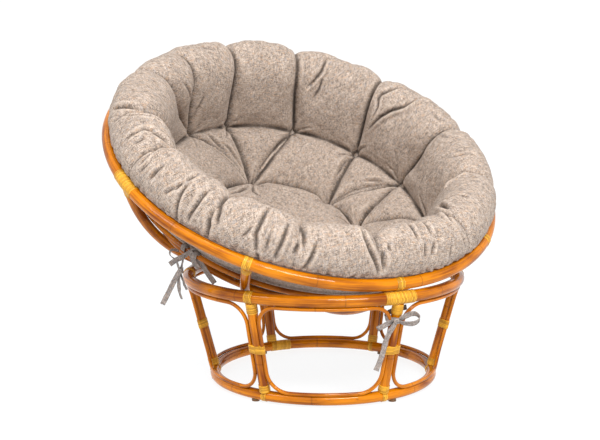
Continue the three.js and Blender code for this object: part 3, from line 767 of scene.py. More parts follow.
def woven_cloth(name, light, dark, thread):
    """Plain weave of uneven threads in several shades, on the cloth's own flat coordinates, with painted shade
    in the creases and a painted highlight on the ridges
    """
    def build(tree, main):
        place = add(tree, "ShaderNodeUVMap", uv_map="cloth").outputs[0]
        unevenness = add(tree, "ShaderNodeTexNoise", {"Vector": place, "Scale": 55.0, "Detail": 1.0})
        shake = add(tree, "ShaderNodeVectorMath", {0: unevenness.outputs["Color"], 1: (0.0015, 0.0015, 0.0)},
                    operation="MULTIPLY")
        place = add(tree, "ShaderNodeVectorMath", {0: place, 1: shake.outputs[0]}, operation="ADD").outputs[0]
        axes = add(tree, "ShaderNodeSeparateXYZ", {0: place})
        count = 1.0 / thread
        numbers = [arithmetic(tree, "MULTIPLY", axes.outputs[axis], count) for axis in (0, 1)]
        yarns = []
        for own, other in ((0, 1), (1, 0)):
            which = arithmetic(tree, "MULTIPLY", arithmetic(tree, "FLOOR", numbers[own]), 7.31)
            reach = arithmetic(tree, "MULTIPLY", axes.outputs[other], 110.0)
            spot = add(tree, "ShaderNodeCombineXYZ", {0: which, 1: reach, 2: 3.7 + 20.0 * own}).outputs[0]
            yarns.append(stretched(tree, spot, (1, 1, 1), 2.0, 0.6))
        waves = [arithmetic(tree, "SINE", arithmetic(tree, "MULTIPLY", number, np.pi)) for number in numbers]
        over = ranged(tree, arithmetic(tree, "MULTIPLY", waves[0], waves[1]), -0.2, 0.2)
        tone = add(tree, "ShaderNodeMix", {0: over, 2: yarns[0], 3: yarns[1]}).outputs[0]
        body = mixed(tree, ranged(tree, tone, 0.34, 0.66), dark, light)
        # Pale threads of the weave, and also the colour of the painted highlight on the ridges
        pale_thread_and_ridge_highlight = shaded(light, 1.25)
        body = mixed(tree, ranged(tree, tone, 0.6, 0.72, 0, 0.6), body, pale_thread_and_ridge_highlight)
        tan = (light[0] * 0.9, light[1] * 0.68, light[2] * 0.48)
        ash = (light[0] * 0.52, light[1] * 0.62, light[2] * 0.78)
        warm = ranged(tree, stretched(tree, place, (count * 0.16, count * 0.5, 1), 2.0), 0.55, 0.68, 0, 0.55)
        cool = ranged(tree, stretched(tree, place, (count * 0.5, count * 0.16, 4), 2.0), 0.55, 0.68, 0, 0.5)
        body = mixed(tree, cool, mixed(tree, warm, body, tan), ash)
        # Painted shade: the cloth darkens towards a deep brown in its creases and hollows
        body = mixed(tree, ranged(tree, mark_of(tree, "painted_crease_shade"), 0, 1, 0, 0.72), body, shaded(dark, 0.45))
        # Painted highlight: the cloth turns paler on its ridges and lips
        body = mixed(tree, ranged(tree, mark_of(tree, "painted_ridge_highlight"), 0, 1, 0, 0.3), body, pale_thread_and_ridge_highlight)
        tree.links.new(body, main.inputs["Base Color"])
        main.inputs["Roughness"].default_value = 0.92
        main.inputs["Sheen Weight"].default_value = 0.06
        main.inputs["Sheen Roughness"].default_value = 0.5
        main.inputs["Specular IOR Level"].default_value = 0.2
        hump = arithmetic(tree, "ADD", arithmetic(tree, "MULTIPLY", waves[0], waves[0]),
                          arithmetic(tree, "MULTIPLY", waves[1], waves[1]))
        relief = arithmetic(tree, "ADD", hump, arithmetic(tree, "MULTIPLY", tone, 3.0))
        in_relief(tree, main, relief, 0.45, 0.0004)

    return shader(name, build)


def moulded_plastic():
    """Dark moulded plastic with a fine matte grain"""
    looks = bpy.context.scene.papasan_finishes

    def build(tree, main):
        place = add(tree, "ShaderNodeTexCoord").outputs["Object"]
        fleck = stretched(tree, place, (900, 900, 900), 2.0)
        wear = ranged(tree, stretched(tree, place, (90, 90, 90), 3.0), 0.4, 0.75, 0, 0.5)
        tree.links.new(mixed(tree, wear, looks.glide, shaded(looks.glide, 2.2)), main.inputs["Base Color"])
        tree.links.new(ranged(tree, fleck, 0.3, 0.7, 0.45, 0.65), main.inputs["Roughness"])
        in_relief(tree, main, fleck, 0.3, 0.0002)

    return shader("Glide plastic", build)


def studio_floor():
    """Pale, slightly mottled studio floor"""
    looks = bpy.context.scene.papasan_finishes

    def build(tree, main):
        place = add(tree, "ShaderNodeTexCoord").outputs["Object"]
        mottle = ranged(tree, stretched(tree, place, (3, 3, 3), 2.0), 0.3, 0.7)
        body = mixed(tree, mottle, looks.floor, shaded(looks.floor, 0.985))
        tree.links.new(body, main.inputs["Base Color"])
        main.inputs["Roughness"].default_value = 0.7
        main.inputs["Specular IOR Level"].default_value = 0.2
        main.inputs["Emission Color"].default_value = (0.985, 0.995, 1.0, 1.0)
        main.inputs["Emission Strength"].default_value = looks.floor_glow

    return shader("Studio floor", build)


# Cushion

TUFT_AZIMUTHS = (124.0, 155.1, 175.1, 206.5, 236.1, 262.5, 291.0, 318.0, 346.0, 14.0, 46.0, 85.0)
CROSSING_AZIMUTHS = (105.0, 133.5, 174.5, 201.0, 234.0, 270.0, 299.0, 333.0, 7.0, 30.0, 54.0, 84.0)
INNER_TUFT_AZIMUTHS = (182.2, 240.5, 272.0, 320.0, 8.0, 60.0, 120.0)
# Which inner tufts each outer tuft is sewn to
TUFT_PAIRS = ((0, 6), (1, 0), (2, 0), (3, 0), (4, 1), (5, 1), (5, 2), (6, 2), (7, 3), (8, 4), (9, 4), (10, 5),
              (11, 5))
# The tuft with a second crease over the roll, and that crease's azimuths halfway up and at the crest
DOUBLE_CREASE = (155.1, 152.0, 151.5)
# Rows of the sewn surface, out from the axis and up from the rim's plane, in shares of the rim's radius
BASE_ROWS = ((0.02, -0.543), (0.12, -0.537), (0.22, -0.518), (0.33, -0.483), (0.44, -0.441), (0.53, -0.392),
             (0.63, -0.315), (0.722, -0.225), (0.755, -0.155), (0.768, -0.08), (0.773, 0.0), (0.787, 0.08),
             (0.82, 0.143), (0.872, 0.166), (0.93, 0.15), (0.968, 0.105), (0.985, 0.066), (0.984, 0.036),
             (0.966, 0.02))
UNDER_SHARES = (0.958, 0.9, 0.82, 0.72, 0.6, 0.48, 0.36, 0.24, 0.12, 0.02)
# How far a full panel stands over the sewn surface at each of these rows, in metres
SWELL_HEIGHTS = (0.066, 0.066, 0.067, 0.067, 0.067, 0.066, 0.061, 0.05, 0.042, 0.038, 0.036, 0.033, 0.03,
                 0.027, 0.023, 0.018, 0.012, 0.004, 0.0)
# How much fuller each panel of the roll is, from the crossing of the same place in the list
PANEL_FULLNESS = (0.5, 0.35, 0.4, 0.05, 0.1, 0.05, 0.0, 0.0, 0.0, 0.15, 0.25, 0.4)
# The folds that show, each with its strength and its points: azimuth in degrees and arc length in metres
SEEN_FOLDS = (
    (1.0, ((109.8, 0.715), (107.4, 0.683), (106.2, 0.662))),
    (0.6, ((106.2, 0.709), (100.8, 0.678), (98.8, 0.65), (97.0, 0.62), (102.0, 0.58))),
    (1.0, ((91.8, 0.702), (91.6, 0.683), (91.8, 0.664), (89.5, 0.648))),
    (0.8, ((89.5, 0.656), (88.0, 0.645), (86.4, 0.63))),
    (0.5, ((88.2, 0.696), (88.2, 0.668))),
    (0.5, ((81.0, 0.712), (81.8, 0.678), (84.6, 0.642))),
    (0.6, ((75.0, 0.722), (74.4, 0.676))),
    (0.45, ((79.8, 0.727), (78.6, 0.694))),
    (1.0, ((63.0, 0.755), (63.6, 0.73), (64.2, 0.704), (64.8, 0.672))),
    (0.5, ((65.4, 0.68), (64.8, 0.65))),
    (0.7, ((66.4, 0.702), (65.6, 0.683))),
    (0.4, ((68.4, 0.722), (66.4, 0.692))),
    (0.9, ((59.4, 0.738), (58.8, 0.704), (58.4, 0.66))),
    (0.9, ((53.2, 0.755), (53.4, 0.732), (54.2, 0.712))),
    (1.0, ((51.4, 0.724), (52.4, 0.694), (54.0, 0.664))),
    (0.5, ((53.4, 0.68), (54.0, 0.631))),
    (1.0, ((40.0, 0.735), (41.2, 0.705), (40.9, 0.678), (40.6, 0.642))),
    (0.4, ((44.4, 0.727), (42.8, 0.699), (41.8, 0.678))),
    (0.9, ((34.8, 0.74), (34.2, 0.704), (33.6, 0.658))),
    (0.6, ((38.6, 0.76), (40.0, 0.735))),
    (0.35, ((37.8, 0.737), (37.6, 0.694))),
    (0.3, ((102.0, 0.683), (103.2, 0.704), (103.2, 0.732))),
    (1.0, ((28.4, 0.71), (28.6, 0.683), (29.6, 0.645))),
    (0.5, ((30.6, 0.722), (29.2, 0.69))),
    (0.7, ((27.0, 0.755), (25.8, 0.722), (25.0, 0.686))),
    (1.1, ((6.9, 0.742), (8.4, 0.718), (10.2, 0.694), (11.4, 0.672), (11.4, 0.642))),
    (1.0, ((5.6, 0.738), (6.0, 0.69))),
    (0.5, ((4.4, 0.696), (4.0, 0.676))),
    (0.5, ((1.0, 0.62), (358.6, 0.632), (357.0, 0.65))),
    (0.9, ((353.0, 0.63), (354.4, 0.658), (354.8, 0.682))),
    (0.5, ((346.8, 0.638), (348.0, 0.657), (349.2, 0.678))),
    (0.5, ((352.2, 0.685), (353.4, 0.718))),
    (0.5, ((349.2, 0.69), (351.0, 0.718))),
    (1.1, ((329.0, 0.612), (335.6, 0.646), (338.6, 0.67), (337.6, 0.694), (336.0, 0.73))),
    (0.9, ((321.4, 0.59), (329.4, 0.632))),
    (1.0, ((304.8, 0.584), (301.4, 0.606), (300.0, 0.634))),
    (0.4, ((320.4, 0.634), (321.2, 0.656))),
    (0.4, ((319.2, 0.592), (319.8, 0.618))),
    (0.4, ((322.2, 0.692), (321.6, 0.724))),
    (0.3, ((343.2, 0.707), (343.8, 0.737))),
    (1.1, ((251.6, 0.647), (249.9, 0.62), (246.4, 0.601), (242.6, 0.57), (238.4, 0.51))),
    (0.7, ((243.0, 0.654), (240.0, 0.631), (238.3, 0.62), (237.9, 0.608), (239.6, 0.586), (239.4, 0.544))),
    (0.6, ((233.6, 0.669), (233.6, 0.627), (234.0, 0.597), (234.0, 0.57), (234.4, 0.536))),
    (0.8, ((297.4, 0.627), (302.0, 0.62), (303.6, 0.605), (302.6, 0.586))),
    (0.3, ((290.1, 0.647), (289.7, 0.627), (287.6, 0.608))),
    (0.3, ((249.9, 0.346), (255.4, 0.38), (259.3, 0.399))),
    (0.35, ((320.1, 0.622), (320.1, 0.639), (320.6, 0.656))),
    (0.8, ((212.1, 0.65), (211.3, 0.62), (208.7, 0.589), (207.0, 0.574))),
    (0.45, ((212.6, 0.612), (212.1, 0.574), (210.4, 0.54))),
    (0.5, ((161.6, 0.658), (164.6, 0.65), (165.4, 0.639))),
    (0.35, ((141.4, 0.612), (145.7, 0.578), (150.9, 0.517))),
    (0.3, ((156.4, 0.548), (155.1, 0.506), (154.7, 0.468))),
    (0.4, ((163.3, 0.388), (169.7, 0.346), (175.7, 0.293), (180.9, 0.262))),
    (0.5, ((203.6, 0.403), (198.9, 0.365), (195.9, 0.335))),
    (0.4, ((199.3, 0.346), (192.0, 0.281), (184.9, 0.25))),
    (0.4, ((235.3, 0.407), (235.3, 0.373), (235.7, 0.331), (237.0, 0.293))),
    (0.3, ((261.0, 0.643), (264.9, 0.643), (267.0, 0.654))),
    (0.25, ((270.4, 0.62), (276.0, 0.627), (278.6, 0.635))),
    (0.4, ((201.9, 0.65), (201.4, 0.631), (202.3, 0.608))),
    (0.6, ((142.3, 0.2), (153.0, 0.188), (163.3, 0.19), (172.0, 0.21))),
    (0.5, ((176.0, 0.21), (168.4, 0.175), (170.6, 0.145))),
    (0.25, ((201.0, 0.183), (217.3, 0.179), (228.0, 0.166))),
    (0.4, ((270.0, 0.262), (267.4, 0.289), (265.3, 0.327))),
    (0.4, ((160.3, 0.418), (164.1, 0.373), (170.1, 0.327))),
)
# How much too large the cloth is cut round the bowl at each row, and how many metres the blown cloth may move
CLOTH_SPARE = (0.0, 0.0, 0.0, 0.02, 0.03, 0.04, 0.05, 0.06, 0.08, 0.09, 0.1, 0.1, 0.12, 0.15, 0.19, 0.23,
               0.25, 0.25, 0.25)
BLOW_CAPS = (0.004, 0.005, 0.006, 0.008, 0.01, 0.012, 0.014, 0.016, 0.018, 0.018, 0.018, 0.016, 0.014, 0.012,
             0.011, 0.01, 0.008, 0.005, 0.003)
# Places of the tufts and of parts of the roll in the list of rows
INNER_TUFT_ROW = 4
OUTER_TUFT_ROW = 7
ROLL_FOOT_ROW = 11
CREST_ROW = 13
OUTSIDE_ROW = 15
WELT_ROW = 17
CUSHION_STEPS = 1140
CUSHION_SPACING = 0.0029
NEAR_AXIS = 0.004
SWELL_POWER = 2.4
FULLEST = 0.93
LINE_SAMPLES = 500
# A crease's depth by how far the panels lift it, the slope of the padding beside it, and both for the tufts
CREASE_LIFTS = (0, 0.1, 0.3, 0.5)
CREASE_DEPTHS = (0.02, 0.013, 0.006, 0.004)
CREASE_END_DEPTH = 0.002
CREASE_WIDTH = 0.0052
ROLL_SLOPES = (0.013, 0.012, 0.0075, 0.0035, 0.0005)
SEAT_SLOPES = (0.013, 0.0115, 0.013)
SLOPE_WIDTH = 0.021
TUFT_DEPTH = 0.026
TUFT_WIDTH = 0.015
TUFT_SLOPE = 0.018
TUFT_SLOPE_WIDTH = 0.034
# A full-strength fold's depth and its shares from one end to the other
FOLD_DEPTH = 0.018
FOLD_PROFILE = (0.15, 0.75, 1.0, 0.9, 0.55, 0.1)
FOLD_FROM_SEAM = 0.55
SEAM_REACH = 0.045
# Between these azimuths the seam is behind or at the side, where no gather was read from the photograph
UNSEEN = (112, 296)
GATHER_START = 0.007
OUTER_PLEATS = 6
INNER_PLEATS = 5
# Welt and groove by the seam: height, place along the arc from the welt's row, and width
WELT = ((0.0022, -0.002, 0.0026), (-0.0016, 0.004, 0.003))
# Painted shade in the cloth's hollows and a painted highlight on its ridges: a height under or over the mean of
# its surroundings
AROUND = 0.006
PAINTED_SHADE_DEPTH = 0.0042
PAINTED_HIGHLIGHT_HEIGHT = 0.003
# Soft waves of the cloth: length, height and count
RUMPLES = ((0.11, 0.0011, 12), (0.045, 0.00055, 14), (0.022, 0.0002, 14))


def spline_through(points, spacing):
    """Even points on a smooth curve through a list, and the arc length at each of the given points"""
    steps = 24
    fine = spline(points, steps)
    reach = arc_lengths(fine)
    even = np.linspace(0, reach[-1], int(reach[-1] / spacing) + 1)
    return read_at(even, reach, fine), even, reach[::steps]


def settled(fixed, value, radius, spacing):
    """Height of a film blown over the grid and held at the fixed points: solves the film's equation by
    conjugate gradients. Rows run out from the axis and columns round it."""
    rows, columns = fixed.shape
    step = 2 * np.pi / columns
    down = (radius[:-1] + radius[1:]) / 2 * step / spacing
    round_about = spacing / (radius * step)
    free = ~fixed

    def apply(field):
        result = np.zeros_like(field)
        difference = (field[1:] - field[:-1]) * down[:, None]
        result[:-1] -= difference
        result[1:] += difference
        beside = (np.roll(field, -1, 1) - field) * round_about[:, None]
        result -= beside
        result += np.roll(beside, 1, 1)
        return result

    diagonal = np.zeros(rows)
    diagonal[:-1] += down
    diagonal[1:] += down
    diagonal = (diagonal + 2 * round_about)[:, None]
    field = np.where(fixed, value, 0.0)
    load = (radius * step * spacing)[:, None] * np.ones((1, columns))
    residual = np.where(free, load - apply(field), 0.0)
    scaled = residual / diagonal
    direction = scaled.copy()
    energy = (residual * scaled).sum()
    first = energy
    for _ in range(1500):
        pressed = np.where(free, apply(direction), 0.0)
        step_length = energy / (direction * pressed).sum()
        field = field + step_length * direction
        residual = residual - step_length * pressed
        scaled = residual / diagonal
        renewed = (residual * scaled).sum()
        if renewed < first * 1e-9:
            break
        direction = scaled + renewed / energy * direction
        energy = renewed
    return field


def nearest_turn(angle, to):
    """The same azimuth, counted so that it lies within half a turn of another"""
    return to + (angle - to + 180) % 360 - 180


def crease_lines(marks, seam):
    """Sewn creases as (azimuth, arc length) ends in degrees and metres, with how much they rise at each end
    and in the middle, as shares of the full swell"""
    inner, outer, crest = marks[INNER_TUFT_ROW], marks[OUTER_TUFT_ROW], marks[CREST_ROW]
    wall = (outer + crest) / 2
    lines = []
    for index, azimuth in enumerate(TUFT_AZIMUTHS):
        beyond = nearest_turn(TUFT_AZIMUTHS[(index + 1) % len(TUFT_AZIMUTHS)], azimuth)
        crossing = nearest_turn(CROSSING_AZIMUTHS[index], azimuth)
        halfway = azimuth * 0.35 + crossing * 0.65
        lines.append(((azimuth, outer), (beyond, outer), (0.0, 0.45, 0.0)))
        lines.append(((azimuth, outer), (halfway, wall), (0.0, 0.1, 0.2)))
        lines.append(((halfway, wall), (crossing, crest), (0.2, 0.3, 0.45)))
        lines.append(((crossing, crest), (crossing, seam), (0.45, 0.65, 0.85)))
    azimuth, halfway, crossing = DOUBLE_CREASE
    lines.append(((azimuth, outer), (halfway, wall), (0.0, 0.2, 0.3)))
    lines.append(((halfway, wall), (crossing, crest), (0.3, 0.5, 0.8)))
    for outer_index, inner_index in TUFT_PAIRS:
        azimuth = TUFT_AZIMUTHS[outer_index]
        tuft = nearest_turn(INNER_TUFT_AZIMUTHS[inner_index], azimuth)
        lines.append(((azimuth, outer), (tuft, inner), (0.0, 0.32, 0.0)))
    for index, azimuth in enumerate(INNER_TUFT_AZIMUTHS):
        beyond = nearest_turn(INNER_TUFT_AZIMUTHS[(index + 1) % len(INNER_TUFT_AZIMUTHS)], azimuth)
        lines.append(((azimuth, inner), (beyond, inner), (0.0, 0.32, 0.0)))
    return lines


def film_share(reach):
    """How full a panel is where the film stands so high, from 0 at a sewn line towards 1"""
    return reach / (1 + reach ** SWELL_POWER) ** (1 / SWELL_POWER)


def film_reach(share):
    """The film's height that fills a panel to a share"""
    share = np.minimum(share, FULLEST)
    return share / (1 - share ** SWELL_POWER) ** (1 / SWELL_POWER)


def press_line(valley, lips, radius, spacing, points, depths, width, sharpness=1.3, lip=0.3, side=0.0):
    """Marks one valley, along a line of (azimuth, arc length) points, and the lips that rise beside it. The
    depths are read evenly along the line, and where lines meet the deeper one counts."""
    rows, columns = valley.shape
    points = np.array(points, float)
    margin = 4.5 * width
    row = np.arange(max(int((points[:, 1].min() - margin) / spacing), 0),
                    min(int((points[:, 1].max() + margin) / spacing) + 2, rows))
    if not len(row):
        return
    around = margin / max(radius[row].min(), 0.02) * 180 / np.pi
    column = np.arange(int(math.floor((points[:, 0].min() - around) / 360 * columns)),
                       int(math.ceil((points[:, 0].max() + around) / 360 * columns)) + 1)
    if len(column) > columns:
        return
    scale = radius[row] * np.pi / 180
    x = (column * 360 / columns - points[0, 0])[None] * scale[:, None]
    y = np.broadcast_to((row * spacing)[:, None], x.shape)
    aside = (points[:, 0] - points[0, 0]) * np.interp(points[:, 1], row * spacing, scale)
    ends = np.stack([aside, points[:, 1]], -1)
    reach = arc_lengths(ends)
    away = np.full(x.shape, np.inf)
    along = np.zeros(x.shape)
    sign = np.zeros(x.shape)
    for index in range(len(ends) - 1):
        span = ends[index + 1] - ends[index]
        dx, dy = x - ends[index, 0], y - ends[index, 1]
        held = np.clip((dx * span[0] + dy * span[1]) / max((span ** 2).sum(), 1e-12), 0, 1)
        gap = np.hypot(dx - held * span[0], dy - held * span[1])
        nearer = gap < away
        away = np.where(nearer, gap, away)
        along = np.where(nearer, reach[index] + held * (reach[index + 1] - reach[index]), along)
        sign = np.where(nearer, np.sign(dx * span[1] - dy * span[0]), sign)
    share = along / max(reach[-1], 1e-9)
    depth = np.interp(share, np.linspace(0, 1, len(depths)), depths)
    where = np.ix_(row, column % columns)
    wide = width * np.where(side * sign > 0, 1 + 1.8 * abs(side), 1 - 0.2 * abs(side))
    valley[where] = np.maximum(valley[where], depth * np.exp(-(away / wide) ** sharpness))
    raised = depth * lip * (1 + side * sign) * np.exp(-((away - 2.4 * width) / (1.3 * width)) ** 2)
    lips[where] = np.maximum(lips[where], raised)


def cushion_top():
    """Heights of the cushion's upper face over its sewn surface, on a grid of arc length by azimuth"""
    cushion = bpy.context.scene.papasan_cushion
    rim = bpy.context.scene.papasan_bowl.rim_radius
    curve, even, marks = spline_through(np.array(BASE_ROWS) * rim, CUSHION_SPACING)
    spacing = even[1] - even[0]
    radius = np.maximum(curve[:, 0], NEAR_AXIS)
    rows, columns = len(even), CUSHION_STEPS
    fixed = np.zeros((rows, columns), bool)
    rise = np.full((rows, columns), np.inf)
    lines = crease_lines(marks, even[-1])
    for (azimuth_a, along_a), (azimuth_b, along_b), (start, middle, end) in lines:
        share = np.linspace(0, 1, LINE_SAMPLES)
        along = along_a + (along_b - along_a) * share
        bearing = azimuth_a + (azimuth_b - azimuth_a) * share
        lift = start + (end - start) * share + (middle - (start + end) / 2) * 4 * share * (1 - share)
        row = np.clip(np.rint(along / spacing).astype(int), 0, rows - 1)
        column = np.rint(bearing / 360 * columns).astype(int) % columns
        fixed[row, column] = True
        np.minimum.at(rise, (row, column), lift)
    value = (film_reach(np.where(fixed, rise, 0)) * cushion.shoulder) ** 2 / 2
    fixed[-1] = True
    value[-1] = 0
    film = settled(fixed, value, radius, spacing)
    share = film_share(np.sqrt(np.maximum(2 * film, 0)) / cushion.shoulder)
    bearing = np.arange(columns) * 360 / columns
    fullness = np.interp(bearing, *panel_fullness())
    wall_foot, roll_foot = marks[OUTER_TUFT_ROW], marks[ROLL_FOOT_ROW]
    over_roll = np.clip((even - wall_foot) / (roll_foot - wall_foot), 0, 1)
    over_roll = over_roll * over_roll * (3 - 2 * over_roll)
    full = np.interp(even, marks, SWELL_HEIGHTS)[:, None] * (1 + fullness[None] * over_roll[:, None])
    return curve, even, marks, share * full, lines


def tuft_places(marks):
    """Azimuth, arc length and number of pleats of every tuft"""
    outer = [(azimuth, marks[OUTER_TUFT_ROW], OUTER_PLEATS) for azimuth in TUFT_AZIMUTHS]
    return outer + [(azimuth, marks[INNER_TUFT_ROW], INNER_PLEATS) for azimuth in INNER_TUFT_AZIMUTHS]


def press_creases(height, radius, spacing, marks, lines):
    """Draws in the sewn creases and the tufts, each with the long soft slope of the padding beside it"""
    valley, slope, lips = np.zeros_like(height), np.zeros_like(height), np.zeros_like(height)
    for start, end, lifts in lines:
        depths = [float(np.interp(lift, CREASE_LIFTS, CREASE_DEPTHS)) for lift in lifts]
        slopes = SEAT_SLOPES
        if end[1] > marks[OUTSIDE_ROW]:
            depths[2] = CREASE_END_DEPTH
            slopes = ROLL_SLOPES
        press_line(valley, lips, radius, spacing, (start, end), depths, CREASE_WIDTH, 1.05, 0.1)
        press_line(slope, lips, radius, spacing, (start, end), slopes, SLOPE_WIDTH, 1.5, 0.0)
    for azimuth, along, _ in tuft_places(marks):
        spot = ((azimuth, along), (azimuth, along + 0.001))
        press_line(valley, lips, radius, spacing, spot, (TUFT_DEPTH, TUFT_DEPTH), TUFT_WIDTH, 1.2, 0.0)
        press_line(slope, lips, radius, spacing, spot, (TUFT_SLOPE, TUFT_SLOPE), TUFT_SLOPE_WIDTH, 1.5, 0.0)
    return height - valley - slope + lips


def press_folds(height, radius, spacing, seam, depth_share, width_share):
    """Presses in the folds that show on the roll, and the gathers that run up from the seam"""
    rng = np.random.default_rng(11)
    valley, lips = np.zeros_like(height), np.zeros_like(height)
    for strength, points in SEEN_FOLDS:
        depth = FOLD_DEPTH * strength ** 0.8 * depth_share
        depths = [depth * part for part in FOLD_PROFILE]
        if points[0][1] > seam - SEAM_REACH:
            depths[0] = depth * FOLD_FROM_SEAM
        width = (0.0029 + 0.0013 * strength) * width_share
        press_line(valley, lips, radius, spacing, points, depths, width, 1.05, 0.35, rng.uniform(-0.9, 0.9))
    bearing = 0.0
    full_depth = bpy.context.scene.papasan_cushion.gather_depth
    while bearing < 360:
        is_seen = bearing < UNSEEN[0] or bearing > UNSEEN[1]
        reach = rng.uniform(0.015, 0.04) if is_seen else rng.uniform(0.03, 0.11)
        depth = rng.uniform(0.4, 1.0) * full_depth * (1.3 if is_seen else 2.0) * depth_share
        lean, bend = rng.uniform(-2.5, 2.5), rng.uniform(-0.8, 0.8)
        start = seam - GATHER_START
        points = ((bearing, start), (bearing + lean / 2 + bend, start - reach / 2),
                  (bearing + lean, start - reach))
        press_line(valley, lips, radius, spacing, points, (depth, depth * 0.8, depth * 0.1),
                   rng.uniform(0.0035, 0.006) * width_share, 1.3, 0.45, rng.uniform(-0.8, 0.8))
        bearing += rng.uniform(2.4, 6.0)
    return height - valley + lips


def press_pleats(height, radius, spacing, marks):
    """Presses in the short pleats that fan out from each tuft and along the creases"""
    rng = np.random.default_rng(5)
    valley, lips = np.zeros_like(height), np.zeros_like(height)
    for azimuth, along, count in tuft_places(marks):
        scale = radius[int(along / spacing)] * np.pi / 180
        first = rng.uniform(0, 360)
        for pleat in range(count):
            bearing = math.radians(first + 360 * (pleat + rng.uniform(-0.25, 0.25)) / count)
            reach = rng.uniform(0.035, 0.075)
            turn = rng.uniform(-0.35, 0.35)
            points = []
            for far in (0.008, reach * 0.5, reach):
                heading = bearing + turn * far / reach
                points.append((azimuth + far * math.sin(heading) / scale, along + far * math.cos(heading)))
            depth = rng.uniform(0.003, 0.009)
            press_line(valley, lips, radius, spacing, points, (depth, depth * 0.6, 0), 0.0036, 1.15, 0.4,
                       rng.uniform(-0.8, 0.8))
    return height - valley + lips


# Cushion's cloth, blown up by a simulation

BLOW_SPACING = 0.0078
BLOW_FRAMES = 20
FOLD_PIN = 0.8
CLOTH_SETTINGS = {"quality": 5, "mass": 0.1, "tension_stiffness": 15, "compression_stiffness": 15,
                  "shear_stiffness": 5, "bending_stiffness": 0.1, "use_pressure": True,
                  "vertex_group_mass": "pins", "pin_stiffness": 1}


def polar_sample(field, spacing, along, bearing):
    """Reads a field kept on the grid of arc length by azimuth"""
    rows, columns = field.shape
    row = np.clip(along / spacing, 0, rows - 1.001)
    column = bearing / 360 * columns
    low, left = np.floor(row).astype(int), np.floor(column).astype(int)
    down, beside = row - low, column - left
    right, left = (left + 1) % columns, left % columns
    near = field[low, left] * (1 - beside) + field[low, right] * beside
    far = field[low + 1, left] * (1 - beside) + field[low + 1, right] * beside
    return near * (1 - down) + far * down


def smooth_sample(field, x, y):
    """Reads a square field of vectors at fractional places, by cubic B-splines"""
    def weights(share):
        return ((1 - share) ** 3 / 6, (3 * share ** 3 - 6 * share ** 2 + 4) / 6,
                (-3 * share ** 3 + 3 * share ** 2 + 3 * share + 1) / 6, share ** 3 / 6)

    low_x, low_y = np.floor(x).astype(int), np.floor(y).astype(int)
    result = np.zeros(x.shape + (field.shape[-1],))
    for i, weight_x in enumerate(weights(x - low_x)):
        for j, weight_y in enumerate(weights(y - low_y)):
            at_x = np.clip(low_x + i - 1, 0, field.shape[0] - 1)
            at_y = np.clip(low_y + j - 1, 0, field.shape[1] - 1)
            result += (weight_x * weight_y)[..., None] * field[at_x, at_y]
    return result


def cloth_pins(shape, half, lines):
    """How firmly each point of the square cloth is held: fully at the creases, less at the folds"""
    pins = np.zeros(shape)

    def pin(azimuth, reach, weight):
        turn = np.radians(azimuth)
        row = np.rint(reach * np.cos(turn) / BLOW_SPACING).astype(int) + half
        column = np.rint(reach * np.sin(turn) / BLOW_SPACING).astype(int) + half
        pins[row, column] = np.maximum(pins[row, column], weight)

    share = np.linspace(0, 1, 220)
    for first, last, _ in lines:
        pin(first[0] + (last[0] - first[0]) * share, first[1] + (last[1] - first[1]) * share, 1.0)
    for _, points in SEEN_FOLDS:
        fold = np.array(points)
        place = np.linspace(0, len(points) - 1, 80)
        pin(*(np.interp(place, range(len(points)), column) for column in fold.T), FOLD_PIN)
    return pins


def blown_up(start, rest, quads, pins):
    """Runs the cloth simulation on a mesh that is cut as in the rest places, and gives where it ends"""
    mesh = bpy.data.meshes.new("cushion_blow")
    mesh.from_pydata(start.tolist(), [], quads.tolist())
    mesh.update()
    piece = bpy.data.objects.new("cushion_blow", mesh)
    bpy.context.scene.collection.objects.link(piece)
    group = piece.vertex_groups.new(name="pins")
    for weight in (FOLD_PIN, 1.0):
        group.add(np.nonzero(pins == weight)[0].tolist(), weight, "REPLACE")
    piece.shape_key_add(name="Basis")
    key = piece.shape_key_add(name="Cut")
    key.data.foreach_set("co", rest.ravel())
    key.value = 0
    cloth = piece.modifiers.new("Cloth", "CLOTH")
    for name, value in CLOTH_SETTINGS.items():
        setattr(cloth.settings, name, value)
    cloth.settings.uniform_pressure_force = bpy.context.scene.papasan_cushion.blow_pressure
    cloth.settings.rest_shape_key = key
    cloth.settings.effector_weights.gravity = 0
    cloth.collision_settings.use_collision = False
    cloth.collision_settings.use_self_collision = False
    for step in range(1, BLOW_FRAMES + 1):
        bpy.context.scene.frame_set(step)
    solved = piece.evaluated_get(bpy.context.evaluated_depsgraph_get())
    places = np.empty(len(start) * 3)
    solved.data.vertices.foreach_get("co", places)
    bpy.data.objects.remove(piece)
    bpy.data.meshes.remove(mesh)
    bpy.context.scene.frame_set(1)
    if not np.isfinite(places).all():
        raise RuntimeError("the cushion's cloth simulation failed")
    return places.reshape(-1, 3)


